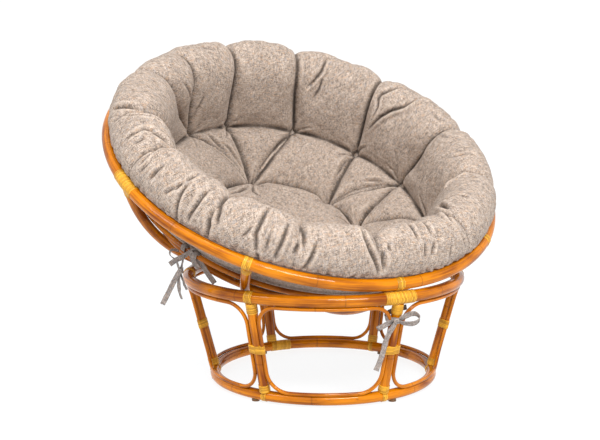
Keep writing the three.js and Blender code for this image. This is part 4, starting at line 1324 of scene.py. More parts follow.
def blown_cloth(out, up, even, marks, lines):
    """Blows up the cushion's upper cloth, held at its creases and its seam and cut a little too large, and
    gives how far each point of the grid moves"""
    spacing, seam = even[1], even[-1]
    half = int(seam / BLOW_SPACING) + 3
    steps = np.arange(-half, half + 1) * BLOW_SPACING
    x, y = np.meshgrid(steps, steps, indexing="ij")
    along = np.hypot(x, y)
    bearing = np.degrees(np.arctan2(y, x)) % 360
    inside = along < seam + BLOW_SPACING * 0.3
    held_along = np.minimum(along, seam - 1e-6)
    heading = bowl_heading(np.radians(bearing))
    place_out = polar_sample(out, spacing, held_along, bearing)
    place_up = polar_sample(up, spacing, held_along, bearing)
    start = place_out[..., None] * heading + place_up[..., None] * UP
    spare = np.interp(held_along, marks, CLOTH_SPARE)
    spare = spare * (1 + 0.35 * np.sin(np.radians(bearing * 5 + 40)) * np.sin(np.radians(bearing * 2)))
    rest = (place_out * (1 + spare))[..., None] * heading + (place_up * 1.03)[..., None] * UP
    number = np.full(x.shape, -1)
    number[inside] = np.arange(inside.sum())
    quads = np.stack([number[:-1, :-1], number[:-1, 1:], number[1:, 1:], number[1:, :-1]], -1).reshape(-1, 4)
    quads = quads[(quads >= 0).all(1)]
    pins = cloth_pins(x.shape, half, lines)
    pins[held_along > seam - BLOW_SPACING * 1.2] = 1.0
    moved = np.zeros(start.shape)
    moved[inside] = blown_up(start[inside], rest[inside], quads, pins[inside]) - start[inside]
    size = np.linalg.norm(moved, axis=-1, keepdims=True)
    cap = np.interp(held_along, marks, BLOW_CAPS)[..., None]
    moved *= cap * np.tanh(size / cap) / np.maximum(size, 1e-9)
    azimuth = even_angles(out.shape[1])
    at_x = even[:, None] * np.cos(azimuth)[None] / BLOW_SPACING + half
    at_y = even[:, None] * np.sin(azimuth)[None] / BLOW_SPACING + half
    return smooth_sample(moved, at_x, at_y)


def blurred(field, radius, spacing, reach):
    """A field of the cushion's grid, smoothed over a reach in metres"""
    pad = int(4 * reach / spacing) + 1
    kernel = np.exp(-0.5 * (np.arange(-pad, pad + 1) * spacing / reach) ** 2)
    kernel /= kernel.sum()
    longer = np.pad(field, ((pad, pad), (0, 0)), mode="edge")
    down = sum(share * longer[index:index + len(field)] for index, share in enumerate(kernel))
    turns = np.arange(field.shape[1] // 2 + 1)
    fade = np.exp(-0.5 * (turns[None] * reach / np.maximum(radius, 0.02)[:, None]) ** 2)
    return np.fft.irfft(np.fft.rfft(down, axis=1) * fade, field.shape[1], axis=1)


def rumple(curve, shape, rng):
    """Low soft waves all over the cloth"""
    azimuth = even_angles(shape[1])
    x = curve[:, None, 0] * np.cos(azimuth)
    y = curve[:, None, 0] * np.sin(azimuth)
    z = np.broadcast_to(curve[:, None, 1], shape)
    waves = np.zeros(shape)
    for wavelength, amplitude, count in RUMPLES:
        for _ in range(count):
            heading = unit(rng.normal(size=3))
            across = heading[0] * x + heading[1] * y + heading[2] * z
            waves += amplitude * 0.5 * np.sin(2 * np.pi / wavelength * across + rng.uniform(0, ANY_PHASE))
    return waves


def panel_fullness():
    """How much fuller or flatter each panel of the roll is, by azimuth"""
    crossings = sorted(zip(CROSSING_AZIMUTHS, PANEL_FULLNESS))
    bearings = [azimuth for azimuth, _ in crossings]
    middles, values = [], []
    for index, (azimuth, value) in enumerate(crossings):
        beyond = nearest_turn(bearings[(index + 1) % len(bearings)], azimuth)
        middles.append((azimuth + beyond) / 2)
        values.append(value)
    middles = np.array(middles)
    return np.concatenate([middles - 360, middles, middles + 360]), np.tile(values, 3)


def cushion_mesh():
    """Points of the cushion in the bowl's frame, the arc length and the reach of each row, and its marks for
    painted shade in the creases and a painted highlight on the ridges
    """
    cushion = bpy.context.scene.papasan_cushion
    bowl = bpy.context.scene.papasan_bowl
    curve, even, marks, height, lines = cushion_top()
    radius = np.maximum(curve[:, 0], NEAR_AXIS)
    spacing = even[1]
    tangent = unit(np.gradient(curve, axis=0))
    normal = np.stack([-tangent[:, 1], tangent[:, 0]], -1)
    heading = bowl_heading(even_angles(CUSHION_STEPS))
    height = press_creases(height, radius, spacing, marks, lines)
    moved = 0.0
    soft = press_folds(height, radius, spacing, even[-1], 0.6, 1.8)
    out = curve[:, None, 0] + normal[:, None, 0] * soft
    up = curve[:, None, 1] + normal[:, None, 1] * soft
    moved = blown_cloth(out, up, even, marks, lines)
    height = press_folds(height, radius, spacing, even[-1], 1.0, 1.0)
    height = press_pleats(height, radius, spacing, marks)
    height += rumple(curve, height.shape, np.random.default_rng(3)) * np.clip(height / 0.02, 0, 1)
    for rise, place, width in WELT:
        height += rise * np.exp(-((even - marks[WELT_ROW] - place) / width) ** 2)[:, None]
    # Painted shade where the cloth lies under the mean of its surroundings, painted highlight where it lies
    # over it
    cavity = blurred(height, radius, spacing, AROUND) - height
    painted_crease_shade = np.clip(cavity / PAINTED_SHADE_DEPTH, 0, 1) ** 1.2
    painted_ridge_highlight = np.clip(-cavity / PAINTED_HIGHLIGHT_HEIGHT, 0, 1)
    out = curve[:, None, 0] + normal[:, None, 0] * height
    up = curve[:, None, 1] + normal[:, None, 1] * height
    top = out[..., None] * heading[None] + (up - bowl.rim_drop)[..., None] * UP + moved
    under_polar = np.array(UNDER_SHARES) * rim_polar()
    under = np.stack([np.sin(under_polar), -np.cos(under_polar)], -1) * cushion.under_sphere
    under[:, 1] += bowl.rim_drop
    under_curve, under_even, _ = spline_through(np.concatenate([curve[-1:], under]), CUSHION_SPACING * 4)
    under_curve = under_curve[1:]
    bottom = under_curve[:, :1, None] * heading[None] + (under_curve[:, 1:] - bowl.rim_drop)[..., None] * UP
    points = np.concatenate([top, bottom])
    arc = np.concatenate([even, even[-1] + under_even[1:]])
    reach = np.concatenate([curve[:, 0], under_curve[:, 0]])
    bare = np.zeros(len(bottom) * CUSHION_STEPS)
    shades = {"painted_crease_shade": painted_crease_shade, "painted_ridge_highlight": painted_ridge_highlight}
    shades = {name: np.concatenate([field.ravel(), bare]) for name, field in shades.items()}
    return points, arc, reach, shades


ROLL_FROM = 0.5


def cushion_cloth_map(faces, arc, reach):
    """Flat coordinates of the cloth at each face's corners: one sheet over the seat, and for each panel of
    the roll a strip that runs out along the panel's middle"""
    row = faces // CUSHION_STEPS
    column = faces % CUSHION_STEPS
    column = np.where((column == 0) & (column[:, :1] == CUSHION_STEPS - 1), CUSHION_STEPS, column)
    bearing = column * 360.0 / CUSHION_STEPS
    edges = np.sort(np.array(CROSSING_AZIMUTHS))
    edges = np.concatenate([edges - 360, edges, edges + 360])
    edge = np.searchsorted(edges, bearing.mean(1))
    panel = ((edges[edge - 1] + edges[edge]) / 2)[:, None]
    is_roll = (arc[row].mean(1) > ROLL_FROM)[:, None]
    local, facing, heading = np.radians(bearing - panel), np.radians(panel), np.radians(bearing)
    run, aside = arc[row], local * reach[row]
    x = np.where(is_roll, run * np.sin(facing) + aside * np.cos(facing), run * np.sin(heading))
    y = np.where(is_roll, run * np.cos(facing) - aside * np.sin(facing), run * np.cos(heading))
    return np.stack([x, y], -1).reshape(-1, 2)


# Studio: the camera's sensor in millimetres, half the floor's width, and the colours of the room at the
# horizon and overhead
SENSOR_WIDTH = 36
FLOOR_REACH = 9.0
ROOM_LOW = (1.0, 0.99, 0.975)
ROOM_HIGH = (0.92, 0.915, 0.9)
SUN_FACING = (0.32, 0.36, -1.0)
SUN_SPREAD = 55
LAMP_AIM = (0, 0, 0.45)


def aimed(context, name, data, place, facing):
    """Links a camera or a lamp that looks in a direction"""
    holder = bpy.data.objects.new(name, data)
    holder.location = place
    holder.rotation_mode = "QUATERNION"
    holder.rotation_quaternion = Vector(facing).to_track_quat("-Z", "Y")
    context.scene.collection.objects.link(holder)
    return holder


class PapasanStage(bpy.types.Operator):
    """Sets up the camera, the lights and the floor"""

    bl_idname = "papasan.stage"
    bl_label = "Camera, lights and floor"

    def execute(self, context):
        studio = context.scene.papasan_studio
        data = bpy.data.cameras.new("Photograph camera")
        data.sensor_fit = "HORIZONTAL"
        data.sensor_width = SENSOR_WIDTH
        data.lens = studio.lens
        data.clip_end = 60
        camera = aimed(context, "Photograph camera", data, studio.camera_place, studio.camera_facing)
        context.scene.camera = camera
        context.scene.view_settings.view_transform = "Standard"
        world = bpy.data.worlds.new("White room")
        context.scene.world = world
        world.use_nodes = True
        tree = world.node_tree
        background = tree.nodes["Background"]
        facing = add(tree, "ShaderNodeSeparateXYZ", {0: add(tree, "ShaderNodeTexCoord").outputs["Generated"]})
        overhead = ranged(tree, facing.outputs[2], 0.06, 0.22)
        tree.links.new(mixed(tree, overhead, ROOM_LOW, ROOM_HIGH), background.inputs["Color"])
        background.inputs["Strength"].default_value = studio.world_strength
        sun = bpy.data.lights.new("Soft overhead", "SUN")
        sun.energy = studio.overhead_strength
        sun.angle = math.radians(SUN_SPREAD)
        aimed(context, "Soft overhead", sun, (0, 0, 0), SUN_FACING)
        lamps = (
            ("Key light", (-0.25, -0.9, 3.3), 0.9, 0.9, studio.key_power, (1.0, 0.985, 0.96)),
            ("Front light", (-0.5, -2.9, 2.45), 1.8, 0.6, studio.front_power, (1.0, 0.99, 0.97)),
            ("Fill light", (-2.4, -0.4, 2.2), 0.8, 0.8, studio.fill_power, (1.0, 1.0, 1.0)),
        )
        for name, place, wide, tall, power, tint in lamps:
            lamp = bpy.data.lights.new(name, "AREA")
            lamp.shape = "RECTANGLE"
            lamp.size = wide
            lamp.size_y = tall
            lamp.energy = power
            lamp.color = tint
            aimed(context, name, lamp, place, Vector(LAMP_AIM) - Vector(place))
        mesh = bpy.data.meshes.new("studio_floor")
        corners = ((-1, -1), (1, -1), (1, 1), (-1, 1))
        mesh.from_pydata([(x * FLOOR_REACH, y * FLOOR_REACH, 0) for x, y in corners], [], [(0, 1, 2, 3)])
        mesh.materials.append(studio_floor())
        ground = bpy.data.objects.new("studio_floor", mesh)
        context.scene.collection.objects.link(ground)
        return {"FINISHED"}


class PapasanRings(bpy.types.Operator):
    """Makes the lower and the upper ring of the stand"""

    bl_idname = "papasan.rings"
    bl_label = "Stand rings"

    def execute(self, context):
        stand = context.scene.papasan_stand
        low, high = stand_heights()
        rows = (("lower_ring", stand.lower_ring_radius, low, stand.lower_ring_pole, 3),
                ("upper_ring", stand.upper_ring_radius, high, stand.upper_ring_pole, 5))
        for node, radius, height, thickness, seed in rows:
            pole(f"{node}_cane", circle(radius, height), circle_out(radius), 2 * math.pi * radius, thickness,
                 seed, "stand", node, is_closed=True)
        return {"FINISHED"}


# How far the ends of posts and ribs go into the poles that they meet
POST_SINK = 0.002
RIB_SINK = 0.003


class PapasanPosts(bpy.types.Operator):
    """Makes the six leaning posts"""

    bl_idname = "papasan.posts"
    bl_label = "Posts"

    def execute(self, context):
        stand = context.scene.papasan_stand
        total = post_length()
        first = stand.lower_ring_pole / 2 - POST_SINK
        span = total - first - stand.upper_ring_pole / 2 + POST_SINK
        for index, name in enumerate(POST_NAMES):
            angle = post_turn(index)

            def path_at(along, angle=angle):
                return turned(post_point((first + along) / total), angle)

            def outward_at(along, angle=angle):
                return turned(post_out(along), angle)

            pole(f"post_{name}_cane", path_at, outward_at, span, stand.post_pole, POST_SEED + index, "stand",
                 f"post_{name}")
        return {"FINISHED"}


class PapasanLoops(bpy.types.Operator):
    """Makes the thin loop bent into each bay between two posts"""

    bl_idname = "papasan.loops"
    bl_label = "Bay loops"

    def execute(self, context):
        stand = context.scene.papasan_stand
        path_at, total = along_loop(loop_points())
        for index, name in enumerate(BAY_NAMES):
            angle = post_turn(index) + HALF_BAY

            def placed(along, angle=angle):
                return turned(path_at(along), angle)

            def outward_at(along, angle=angle):
                return turned(unit(path_at(along) * (1 - UP)), angle)

            pole(f"bay_loop_{name}_cane", placed, outward_at, total, stand.loop_pole, LOOP_SEED + index,
                 "stand", f"bay_loop_{name}", is_closed=True, sides=ROD_SIDES)
        return {"FINISHED"}


class PapasanBowlPoles(bpy.types.Operator):
    """Makes the rim, the hoops and the ribs of the bowl"""

    bl_idname = "papasan.bowl"
    bl_label = "Bowl poles"

    def execute(self, context):
        bowl = context.scene.papasan_bowl
        hoops = (("bowl_hoop_upper", bowl.upper_hoop_share, bowl.upper_hoop_pole),
                 ("bowl_hoop_lower", bowl.lower_hoop_share, bowl.lower_hoop_pole),
                 ("bowl_hoop_bottom", bowl.bottom_hoop_share, bowl.bottom_hoop_pole))
        pole("bowl_rim_cane", circle(bowl.rim_radius, -bowl.rim_drop), circle_out(bowl.rim_radius),
             2 * math.pi * bowl.rim_radius, bowl.rim_pole, RIM_SEED, "bowl", "bowl_rim", is_closed=True,
             place=bowl_place, turn=bowl_turn)
        for index, (node, share, thickness) in enumerate(hoops):
            radius, height = hoop_measures(share, thickness)
            pole(f"{node}_cane", circle(radius, height), circle_out(radius), 2 * math.pi * radius, thickness,
                 RIM_SEED + 1 + index, "bowl", node, is_closed=True, sides=HOOP_SIDES, place=bowl_place,
                 turn=bowl_turn)
        reach = sphere_radius()
        last = rim_polar() - (bowl.rim_pole / 2 - RIB_SINK) / reach
        foot = bowl.rib_foot_share * rim_polar()
        ribs = [("spine", 0.0, -last, 2 * last)]
        ribs += [(name, math.radians(azimuth), foot, last - foot) for name, azimuth in RIB_ANGLES.items()]
        for index, (name, azimuth, first, span) in enumerate(ribs):
            path_at = rib_path(azimuth, first)

            def outward_at(along, path_at=path_at):
                return unit(path_at(along))

            pole(f"bowl_rib_{name}_cane", path_at, outward_at, span * reach, bowl.rib_pole, RIB_SEED + index,
                 "bowl", f"bowl_rib_{name}", place=bowl_place, turn=bowl_turn)
        return {"FINISHED"}


class PapasanGlides(bpy.types.Operator):
    """Gives the glides under the lower ring their plastic"""

    bl_idname = "papasan.glides"
    bl_label = "Glides"

    def execute(self, context):
        for name in POST_NAMES:
            glide = frame["nodes"][f"foot_glide_{name}"]
            glide.data.materials.clear()
            glide.data.materials.append(moulded_plastic())
            edge = glide.modifiers.new("Soft edge", "BEVEL")
            edge.width = 0.0008
            edge.segments = 3
        return {"FINISHED"}


class PapasanStandBindings(bpy.types.Operator):
    """Winds the peel round the joints of the stand"""

    bl_idname = "papasan.stand_bindings"
    bl_label = "Stand bindings"

    def execute(self, context):
        stand, binding = context.scene.papasan_stand, context.scene.papasan_binding
        low, high = stand_heights()
        total = post_length()
        loop_low, loop_high, square, aside = loop_measures()
        rod = stand.loop_pole / 2
        cluster = cluster_inner([(0, 0, stand.post_pole / 2), (square, aside, rod), (square, -aside, rod)])
        post = round_inner(stand.post_pole / 2)
        narrow = binding.turn * POST_TURN
        for index, name in enumerate(POST_NAMES):
            angle = post_turn(index)
            seed = STAND_BINDING_SEED + index * 10

            def on_ring(radius, height, thickness, start, end, seed, angle=angle):
                return sleeve(lambda along: stand_place(turned(circle(radius, height)(along), angle)),
                              lambda along: turned(circle_out(radius)(along), angle), start, end,
                              round_inner(thickness / 2), WINDING_SIDES, binding.turn, seed)

            def on_post(start, end, inner, sides, width, seed, angle=angle):
                return sleeve(lambda along: stand_place(turned(post_point(along / total), angle)),
                              lambda along: turned(post_out(along), angle), start, end, inner, sides, width,
                              seed)

            half = (binding.top_splice if name == "front" else binding.top_strap) / 2
            wrap = total - stand.upper_ring_pole / 2
            top = [on_ring(stand.upper_ring_radius, high, stand.upper_ring_pole, -half, half, seed),
                   on_post(wrap - binding.top_wrap, wrap + TUCK, post, WINDING_SIDES, narrow, seed + 1)]
            binding_piece(f"top_winding_{name}", top, "stand", f"post_binding_top_{name}")
            end = binding.bottom_strap / 2
            start = end - binding.bottom_splice if name == "back" else -end
            wrap = stand.lower_ring_pole / 2
            bottom = [on_ring(stand.lower_ring_radius, low, stand.lower_ring_pole, start, end, seed + 2),
                      on_post(wrap - TUCK, wrap + binding.bottom_wrap, post, WINDING_SIDES, narrow, seed + 3)]
            binding_piece(f"bottom_winding_{name}", bottom, "stand", f"post_binding_bottom_{name}")
            middle = (loop_low + loop_high) / 2 * total
            half = binding.middle_wrap / 2
            band = on_post(middle - half, middle + half, cluster, CLUSTER_SIDES, binding.turn * FINE_TURN,
                           seed + 4)
            binding_piece(f"middle_winding_{name}", [band], "stand", f"post_binding_middle_{name}")
        return {"FINISHED"}


class PapasanRimBindings(bpy.types.Operator):
    """Winds the peel round the rim where the ribs meet it"""

    bl_idname = "papasan.rim_bindings"
    bl_label = "Rim bindings"

    def execute(self, context):
        bowl = context.scene.papasan_bowl
        binding = context.scene.papasan_binding
        reach = sphere_radius()
        places = {**RIB_ANGLES, "front": 0, "back": 180}
        for index, (name, degrees) in enumerate(places.items()):
            azimuth = math.radians(degrees)
            width = binding.rim_splice if name == "left" else binding.rim_strap

            def on_rim(along, azimuth=azimuth):
                side = bowl_heading(azimuth - along / bowl.rim_radius)
                return bowl_place(bowl.rim_radius * side - bowl.rim_drop * UP)

            def rim_out(along, azimuth=azimuth):
                return bowl_turn(bowl_heading(azimuth - along / bowl.rim_radius))

            parts = [sleeve(on_rim, rim_out, -width / 2, width / 2, round_inner(bowl.rim_pole / 2),
                            RIM_WINDING_SIDES, binding.turn, RIM_BINDING_SEED + index)]
            if name != "front":
                first = rim_polar() - (bowl.rim_pole / 2 + binding.rib_wrap) / reach
                path_at = rib_path(azimuth, first)
                parts.append(sleeve(lambda along, path_at=path_at: bowl_place(path_at(along)),
                                    lambda along, path_at=path_at: bowl_turn(unit(path_at(along))),
                                    0, binding.rib_wrap + TUCK, round_inner(bowl.rib_pole / 2),
                                    WINDING_SIDES, binding.turn * FINE_TURN, RIB_BINDING_SEED + index))
            binding_piece(f"rim_winding_{name}", parts, "bowl", f"rim_binding_{name}")
        return {"FINISHED"}


class PapasanCushion(bpy.types.Operator):
    """Makes the tufted cushion and its woven cloth"""

    bl_idname = "papasan.cushion"
    bl_label = "Cushion"

    def execute(self, context):
        looks = context.scene.papasan_finishes
        cushion = context.scene.papasan_cushion
        points, arc, reach, shades = cushion_mesh()
        faces = grid_faces(len(points), CUSHION_STEPS, False)
        flat = cushion_cloth_map(np.array(faces), arc, reach)
        closed = capped(faces, len(points), CUSHION_STEPS)
        flat = np.concatenate([flat, np.zeros((2 * CUSHION_STEPS, 2))])
        material = woven_cloth("Cushion cloth", looks.cloth_light, looks.cloth_dark, cushion.thread)
        piece = new_piece("cushion_cloth", bowl_place(points), closed, material, "cushion", shades,
                          flat)
        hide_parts("seat_cushion")
        return {"FINISHED"}


# Ribbons of the ties, in millimetres from their knot: each point is sideways, up and towards the front left,
# and then the direction of the ribbon's width there
FRONT_RIBBONS = {
    "front_bow": (
        ((-47, -22, -1), (-0.45, 0.89, 0.1)), ((-36, -15.5, 2), (-0.42, 0.9, 0.0)),
        ((-24, -8, 4), (-0.35, 0.93, 0.1)), ((-12, -2.5, 4), (-0.2, 0.8, 0.55)),
        ((-4, 0, 3), (-0.1, 0.6, 0.8)), ((4, 2, 3), (-0.2, 0.6, 0.75)), ((13, 6.5, 2), (-0.25, 0.9, 0.3)),
        ((24, 11.5, -3), (-0.3, 0.93, 0.05)), ((36, 14.5, -8), (-0.15, 0.95, 0.2)),
        ((46, 14, -9), (-0.05, 0.95, 0.3)), ((53, 9.5, -4), (0.0, 0.9, 0.42)),
        ((54.5, 4, 3), (0.0, 0.85, 0.5)), ((49, -1.5, 9), (0.0, 0.9, 0.4)), ((38, -5, 12), (0.0, 0.95, 0.3)),
        ((26, -5.5, 11), (0.0, 0.93, 0.35)), ((13, -4, 8), (0.05, 0.8, 0.6)),
        ((4, -1.5, 5), (0.0, 0.6, 0.8))),
    "front_tail": (
        ((5, 1, 6), (0.3, 0.6, -0.7)), ((-3, -5, 6.5), (0.6, -0.4, -0.65)),
        ((-9, -13, 6.5), (0.8, -0.45, -0.35)), ((-18, -29, 7), (0.86, -0.42, -0.25)),
        ((-27, -50, 7), (0.92, -0.34, -0.2)), ((-33, -76, 7), (0.95, -0.24, 0.15)),
        ((-41, -100, 8), (0.93, -0.3, 0.2)), ((-50, -122, 8), (0.94, -0.33, 0.0))),
    "front_knot": (
        ((-1, 6.5, 2), (1, -0.1, 0)), ((-1.5, 5.5, 7.5), (1, -0.15, 0)), ((-2, 0, 10), (1, -0.2, 0)),
        ((-1.5, -6, 7.5), (1, -0.1, 0)), ((-1, -7, 2), (1, 0, 0))),
}
LEFT_RIBBONS = {
    "left_strap": (
        ((26, 9, 3), (-0.3, 0.5, 0.8)), ((15, 6, 7), (-0.3, 0.6, 0.75)), ((3, -1.5, 9), (-0.4, 0.8, 0.4)),
        ((-11, -10.5, 9), (-0.45, 0.89, 0.1)), ((-26, -18, 8), (-0.45, 0.89, 0.0)),
        ((-41, -28.5, 7), (-0.5, 0.86, 0.0))),
    "left_curl": (
        ((-24, -18, 2), (0.2, 0.3, 0.93)), ((-34.5, -13, 1), (0.25, 0.25, 0.93)),
        ((-41.5, -5, 0), (0.3, 0.0, 0.95)), ((-39.5, 3.5, -3), (0.3, -0.2, 0.93)),
        ((-31, 5.5, -6), (0.1, -0.3, 0.94)), ((-20, 3, -6), (0.0, -0.3, 0.95))),
    "left_bow": (
        ((6, 6, 7), (0.9, 0.3, 0.3)), ((12.5, -2.5, 9), (0.95, 0.25, 0.2)),
        ((16, -14.5, 10), (0.97, 0.15, 0.1)), ((21.5, -27.5, 10), (0.86, 0.5, 0.1)),
        ((31, -38.5, 10), (0.72, 0.7, 0.0))),
    "left_end": (
        ((20, -3, 3), (0.6, 0.3, 0.7)), ((34, -24, 5), (0.8, 0.55, 0.2)),
        ((48.5, -46.5, 6), (0.82, 0.57, 0.0)), ((60, -63, 7), (0.82, 0.57, -0.1)),
        ((69.5, -76, 7), (0.8, 0.6, 0.0))),
    "left_narrow": (
        ((-6, -6, 5), (0.35, 0.1, 0.92)), ((-10, -24, 6), (0.35, 0.0, 0.93)),
        ((-14.5, -44, 7), (0.5, 0.0, 0.86)), ((-18, -61, 7), (0.4, 0.0, 0.9)),
        ((-20, -82, 7), (0.75, 0.0, 0.66)), ((-17.5, -100, 7), (0.55, 0.1, 0.83)),
        ((-12.5, -116, 7), (0.45, 0.2, 0.88))),
    "left_fold": (
        ((-24, -20, 4), (0.5, 0.1, 0.85)), ((-21, -35, 5), (0.45, 0.1, 0.88)),
        ((-15.5, -48, 5), (0.35, 0.1, 0.93)), ((-11.5, -62, 6), (0.45, 0.1, 0.88)),
        ((-6, -79, 8), (0.5, 0.2, 0.84)), ((1, -92, 9), (0.45, 0.3, 0.85))),
    "left_tail": (
        ((-13, -38, 9), (0.5, -0.2, 0.84)), ((-20, -50, 10), (0.86, -0.4, 0.3)),
        ((-31.5, -71.5, 10), (0.89, -0.45, 0.0)), ((-45, -98.5, 10), (0.9, -0.43, -0.1)),
        ((-60.5, -129, 9), (0.88, -0.47, 0.0))),
    "left_knot": (
        ((-20.5, -43, 4), (0.1, 1, 0)), ((-19, -44, 10.5), (0.1, 1, 0)),
        ((-14.5, -44.5, 13), (0.05, 1, 0.1)), ((-9.5, -44, 10.5), (0, 1, 0)), ((-8.5, -43, 4), (0, 1, 0))),
}
TIE_SIDE = np.array([0.87075, -0.49173, 0.0])
TIE_TOWARD = np.array([-0.49173, -0.87075, 0.0])
FRONT_KNOT_SHARE = 0.788
LEFT_KNOT_AZIMUTH = 63.7
LEFT_KNOT_DROP = 0.0067
KNOT_GAP = 0.002
# The wrap round the front post, in millimetres from its middle: sideways, outwards and up
FRONT_WRAP = ((-3, 15, 0), (-13, 12.5, 1), (-23, 10, 3), (-29.5, 3, 5), (-27, -6, 8), (-15, -16, 12),
              (0, -18.5, 16), (15, -16, 20), (27, -6, 24), (29.5, 2, 27), (26, 8, 28.5))
# The wraps round the upper hoop: where, from which angle to which, how much wider they end and half their run
LEFT_WRAP_AZIMUTHS = (64.4, 59.6)
LEFT_WRAP_TURNS = (20, 520)
LEFT_WRAP_GAP = 0.0012
LEFT_WRAP_WIDENS = 0.0022 * 1.4
LEFT_WRAP_RUN = 0.003
LEFT_WRAP_POINTS = 26
RIBBON_POINTS = 9
# How far the threads at a cut end stand out of line
FRAY = 0.0005


def curve_through(points, count):
    """Even points on a smooth curve through points in space, which may carry more values, and its length"""
    fine = spline(points, 16)
    reach = arc_lengths(fine[:, :3])
    return read_at(np.linspace(0, reach[-1], count), reach, fine), reach[-1]


def ribbon(name, places, widths, body, node, seed, is_frayed=True):
    """A flat woven tie with hemmed edges along a line, with the direction of its width at each place"""
    tie = bpy.context.scene.papasan_tie
    rng = np.random.default_rng(seed)
    rows = max(24, int(np.ptp(places, 0).max() / 0.002))
    data, total = curve_through(np.concatenate([places, widths], 1), rows)
    path, wide = data[:, :3], unit(data[:, 3:])
    along = unit(np.gradient(path, axis=0))
    face = unit(np.cross(wide, along))
    across = np.cross(along, face)
    place = np.linspace(-1, 1, RIBBON_POINTS)
    half = np.where(abs(place) > 0.7, 1.0, 0.62) * tie.thickness / 2
    half[[0, -1]] *= 0.55
    distance = np.linspace(0, total, rows)
    curl = 0.0011 * wander(distance, seed + 1, 0.05)
    lean = 0.00045 * wander(distance, seed + 2, 0.021)
    width = tie.width / 2 * (1 + 0.05 * wander(distance, seed + 3, 0.04))
    sheet = []
    for sign in (1, -1):
        order, thick = place[::sign], half[::sign]
        bend = curl[:, None] * (order[None] ** 2 - 0.35) + lean[:, None] * np.sin(order * 2.4)[None]
        edge = width[:, None] * order[None]
        slide = np.zeros((rows, RIBBON_POINTS))
        if is_frayed:
            slide[-1] = rng.normal(size=RIBBON_POINTS)[::sign] * FRAY
            slide[-2] = slide[-1] * 0.4
        sheet.append(path[:, None] + across[:, None] * edge[..., None] + along[:, None] * slide[..., None]
                     + face[:, None] * (bend + sign * thick[None])[..., None])
    points = np.concatenate(sheet, 1)
    columns = points.shape[1]
    faces = capped(grid_faces(rows, columns, False), rows, columns)
    around = np.concatenate([place, 2 - place]) * tie.width / 2
    flat = [(distance[corner // columns], around[corner % columns]) for quad in faces for corner in quad]
    looks = bpy.context.scene.papasan_finishes
    thread = bpy.context.scene.papasan_cushion.thread * 0.8
    material = woven_cloth("Tie cloth", looks.tie_light, looks.tie_dark, thread)
    piece = new_piece(name, points, faces, material, body, cloth_map=flat)
    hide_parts(node)
    return piece, total


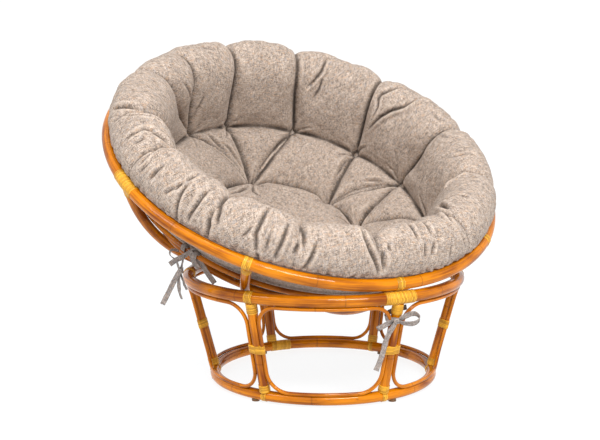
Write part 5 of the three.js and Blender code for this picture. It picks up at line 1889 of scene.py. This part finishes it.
class PapasanTies(bpy.types.Operator):
    """Makes the cloth ties: a bow round the front post and a bunch on the upper hoop at the left"""

    bl_idname = "papasan.ties"
    bl_label = "Ties"

    def execute(self, context):
        stand, bowl, tie = context.scene.papasan_stand, context.scene.papasan_bowl, context.scene.papasan_tie
        post = stand_place(turned(post_point(FRONT_KNOT_SHARE), post_turn(0)))
        front = post + TIE_TOWARD * (stand.post_pole / 2 + KNOT_GAP) + TIE_SIDE * KNOT_GAP
        radius, height = hoop_measures(bowl.upper_hoop_share, bowl.upper_hoop_pole)

        def on_hoop(degrees):
            return bowl_place(bowl_heading(np.array(math.radians(degrees))) * radius + UP * height)

        left = on_hoop(LEFT_KNOT_AZIMUTH) + TIE_TOWARD * (bowl.upper_hoop_pole / 2 + KNOT_GAP)
        left = left - UP * LEFT_KNOT_DROP
        seed = TIE_SEED
        for knot, ribbons, body, node in ((front, FRONT_RIBBONS, "stand", "cushion_tie_front"),
                                          (left, LEFT_RIBBONS, "bowl", "cushion_tie_left")):
            for name, table in ribbons.items():
                axes = np.array([TIE_SIDE, UP, TIE_TOWARD])
                places = knot + np.array([at for at, _ in table]) @ axes / 1000
                widths = np.array([wide for _, wide in table]) @ axes
                piece, total = ribbon(f"tie_{name}", places, widths, body, node, seed, "knot" not in name)
                seed += 10
        across = np.array([1.0, 0.0, 0.0])
        places = post + np.array(FRONT_WRAP) @ np.array([across, [0.0, -1.0, 0.0], UP]) / 1000
        widths = np.tile(UP, (len(places), 1)) - across * 0.25
        piece, total = ribbon("tie_front_wrap", places, widths, "stand", "cushion_tie_front", FRONT_WRAP_SEED)
        share = np.linspace(0, 1, LEFT_WRAP_POINTS)[:, None]
        turns = np.radians(LEFT_WRAP_TURNS[0] + (LEFT_WRAP_TURNS[1] - LEFT_WRAP_TURNS[0]) * share)
        reach = bowl.upper_hoop_pole / 2 + LEFT_WRAP_GAP + LEFT_WRAP_WIDENS * share
        for index, degrees in enumerate(LEFT_WRAP_AZIMUTHS):
            tangent = bowl_turn(bowl_heading(np.array(math.radians(degrees + 90))))
            first = unit(TIE_TOWARD - tangent * (TIE_TOWARD @ tangent))
            second = np.cross(tangent, first)
            places = on_hoop(degrees) + reach * (first * np.cos(turns) + second * np.sin(turns))
            places = places + tangent * LEFT_WRAP_RUN * (2 * share - 1)
            widths = np.tile(tangent, (LEFT_WRAP_POINTS, 1))
            piece, total = ribbon(f"tie_left_wrap_{index + 1}", places, widths, "bowl", "cushion_tie_left",
                                  LEFT_WRAP_SEED + index)
        return {"FINISHED"}


class PapasanPanel(bpy.types.Panel):
    """Buttons for the chair's pieces"""

    bl_idname = "VIEW3D_PT_papasan"
    bl_label = "Papasan Chair"
    bl_space_type = "VIEW_3D"
    bl_region_type = "UI"
    bl_category = "Papasan"

    def draw(self, context):
        for operator in OPERATORS:
            self.layout.operator(operator.bl_idname)


GROUPS = {
    "papasan_stand": StandSizes,
    "papasan_bowl": BowlSizes,
    "papasan_binding": BindingSizes,
    "papasan_cushion": CushionSizes,
    "papasan_tie": TieSizes,
    "papasan_finishes": Finishes,
    "papasan_studio": StudioSettings,
}
OPERATORS = (PapasanStage, PapasanRings, PapasanPosts, PapasanLoops, PapasanBowlPoles, PapasanGlides,
             PapasanStandBindings, PapasanRimBindings, PapasanCushion, PapasanTies)


def register():
    for name, group in GROUPS.items():
        bpy.utils.register_class(group)
        setattr(bpy.types.Scene, name, PointerProperty(type=group))
    for operator in OPERATORS:
        bpy.utils.register_class(operator)
    bpy.utils.register_class(PapasanPanel)


def unregister():
    bpy.utils.unregister_class(PapasanPanel)
    for operator in reversed(OPERATORS):
        bpy.utils.unregister_class(operator)
    for name, group in reversed(GROUPS.items()):
        delattr(bpy.types.Scene, name)
        bpy.utils.unregister_class(group)


def main():
    register()
    for operator in OPERATORS:
        family, action = operator.bl_idname.split(".")
        getattr(getattr(bpy.ops, family), action)()
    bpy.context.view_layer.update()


if __name__ == "__main__":
    main()
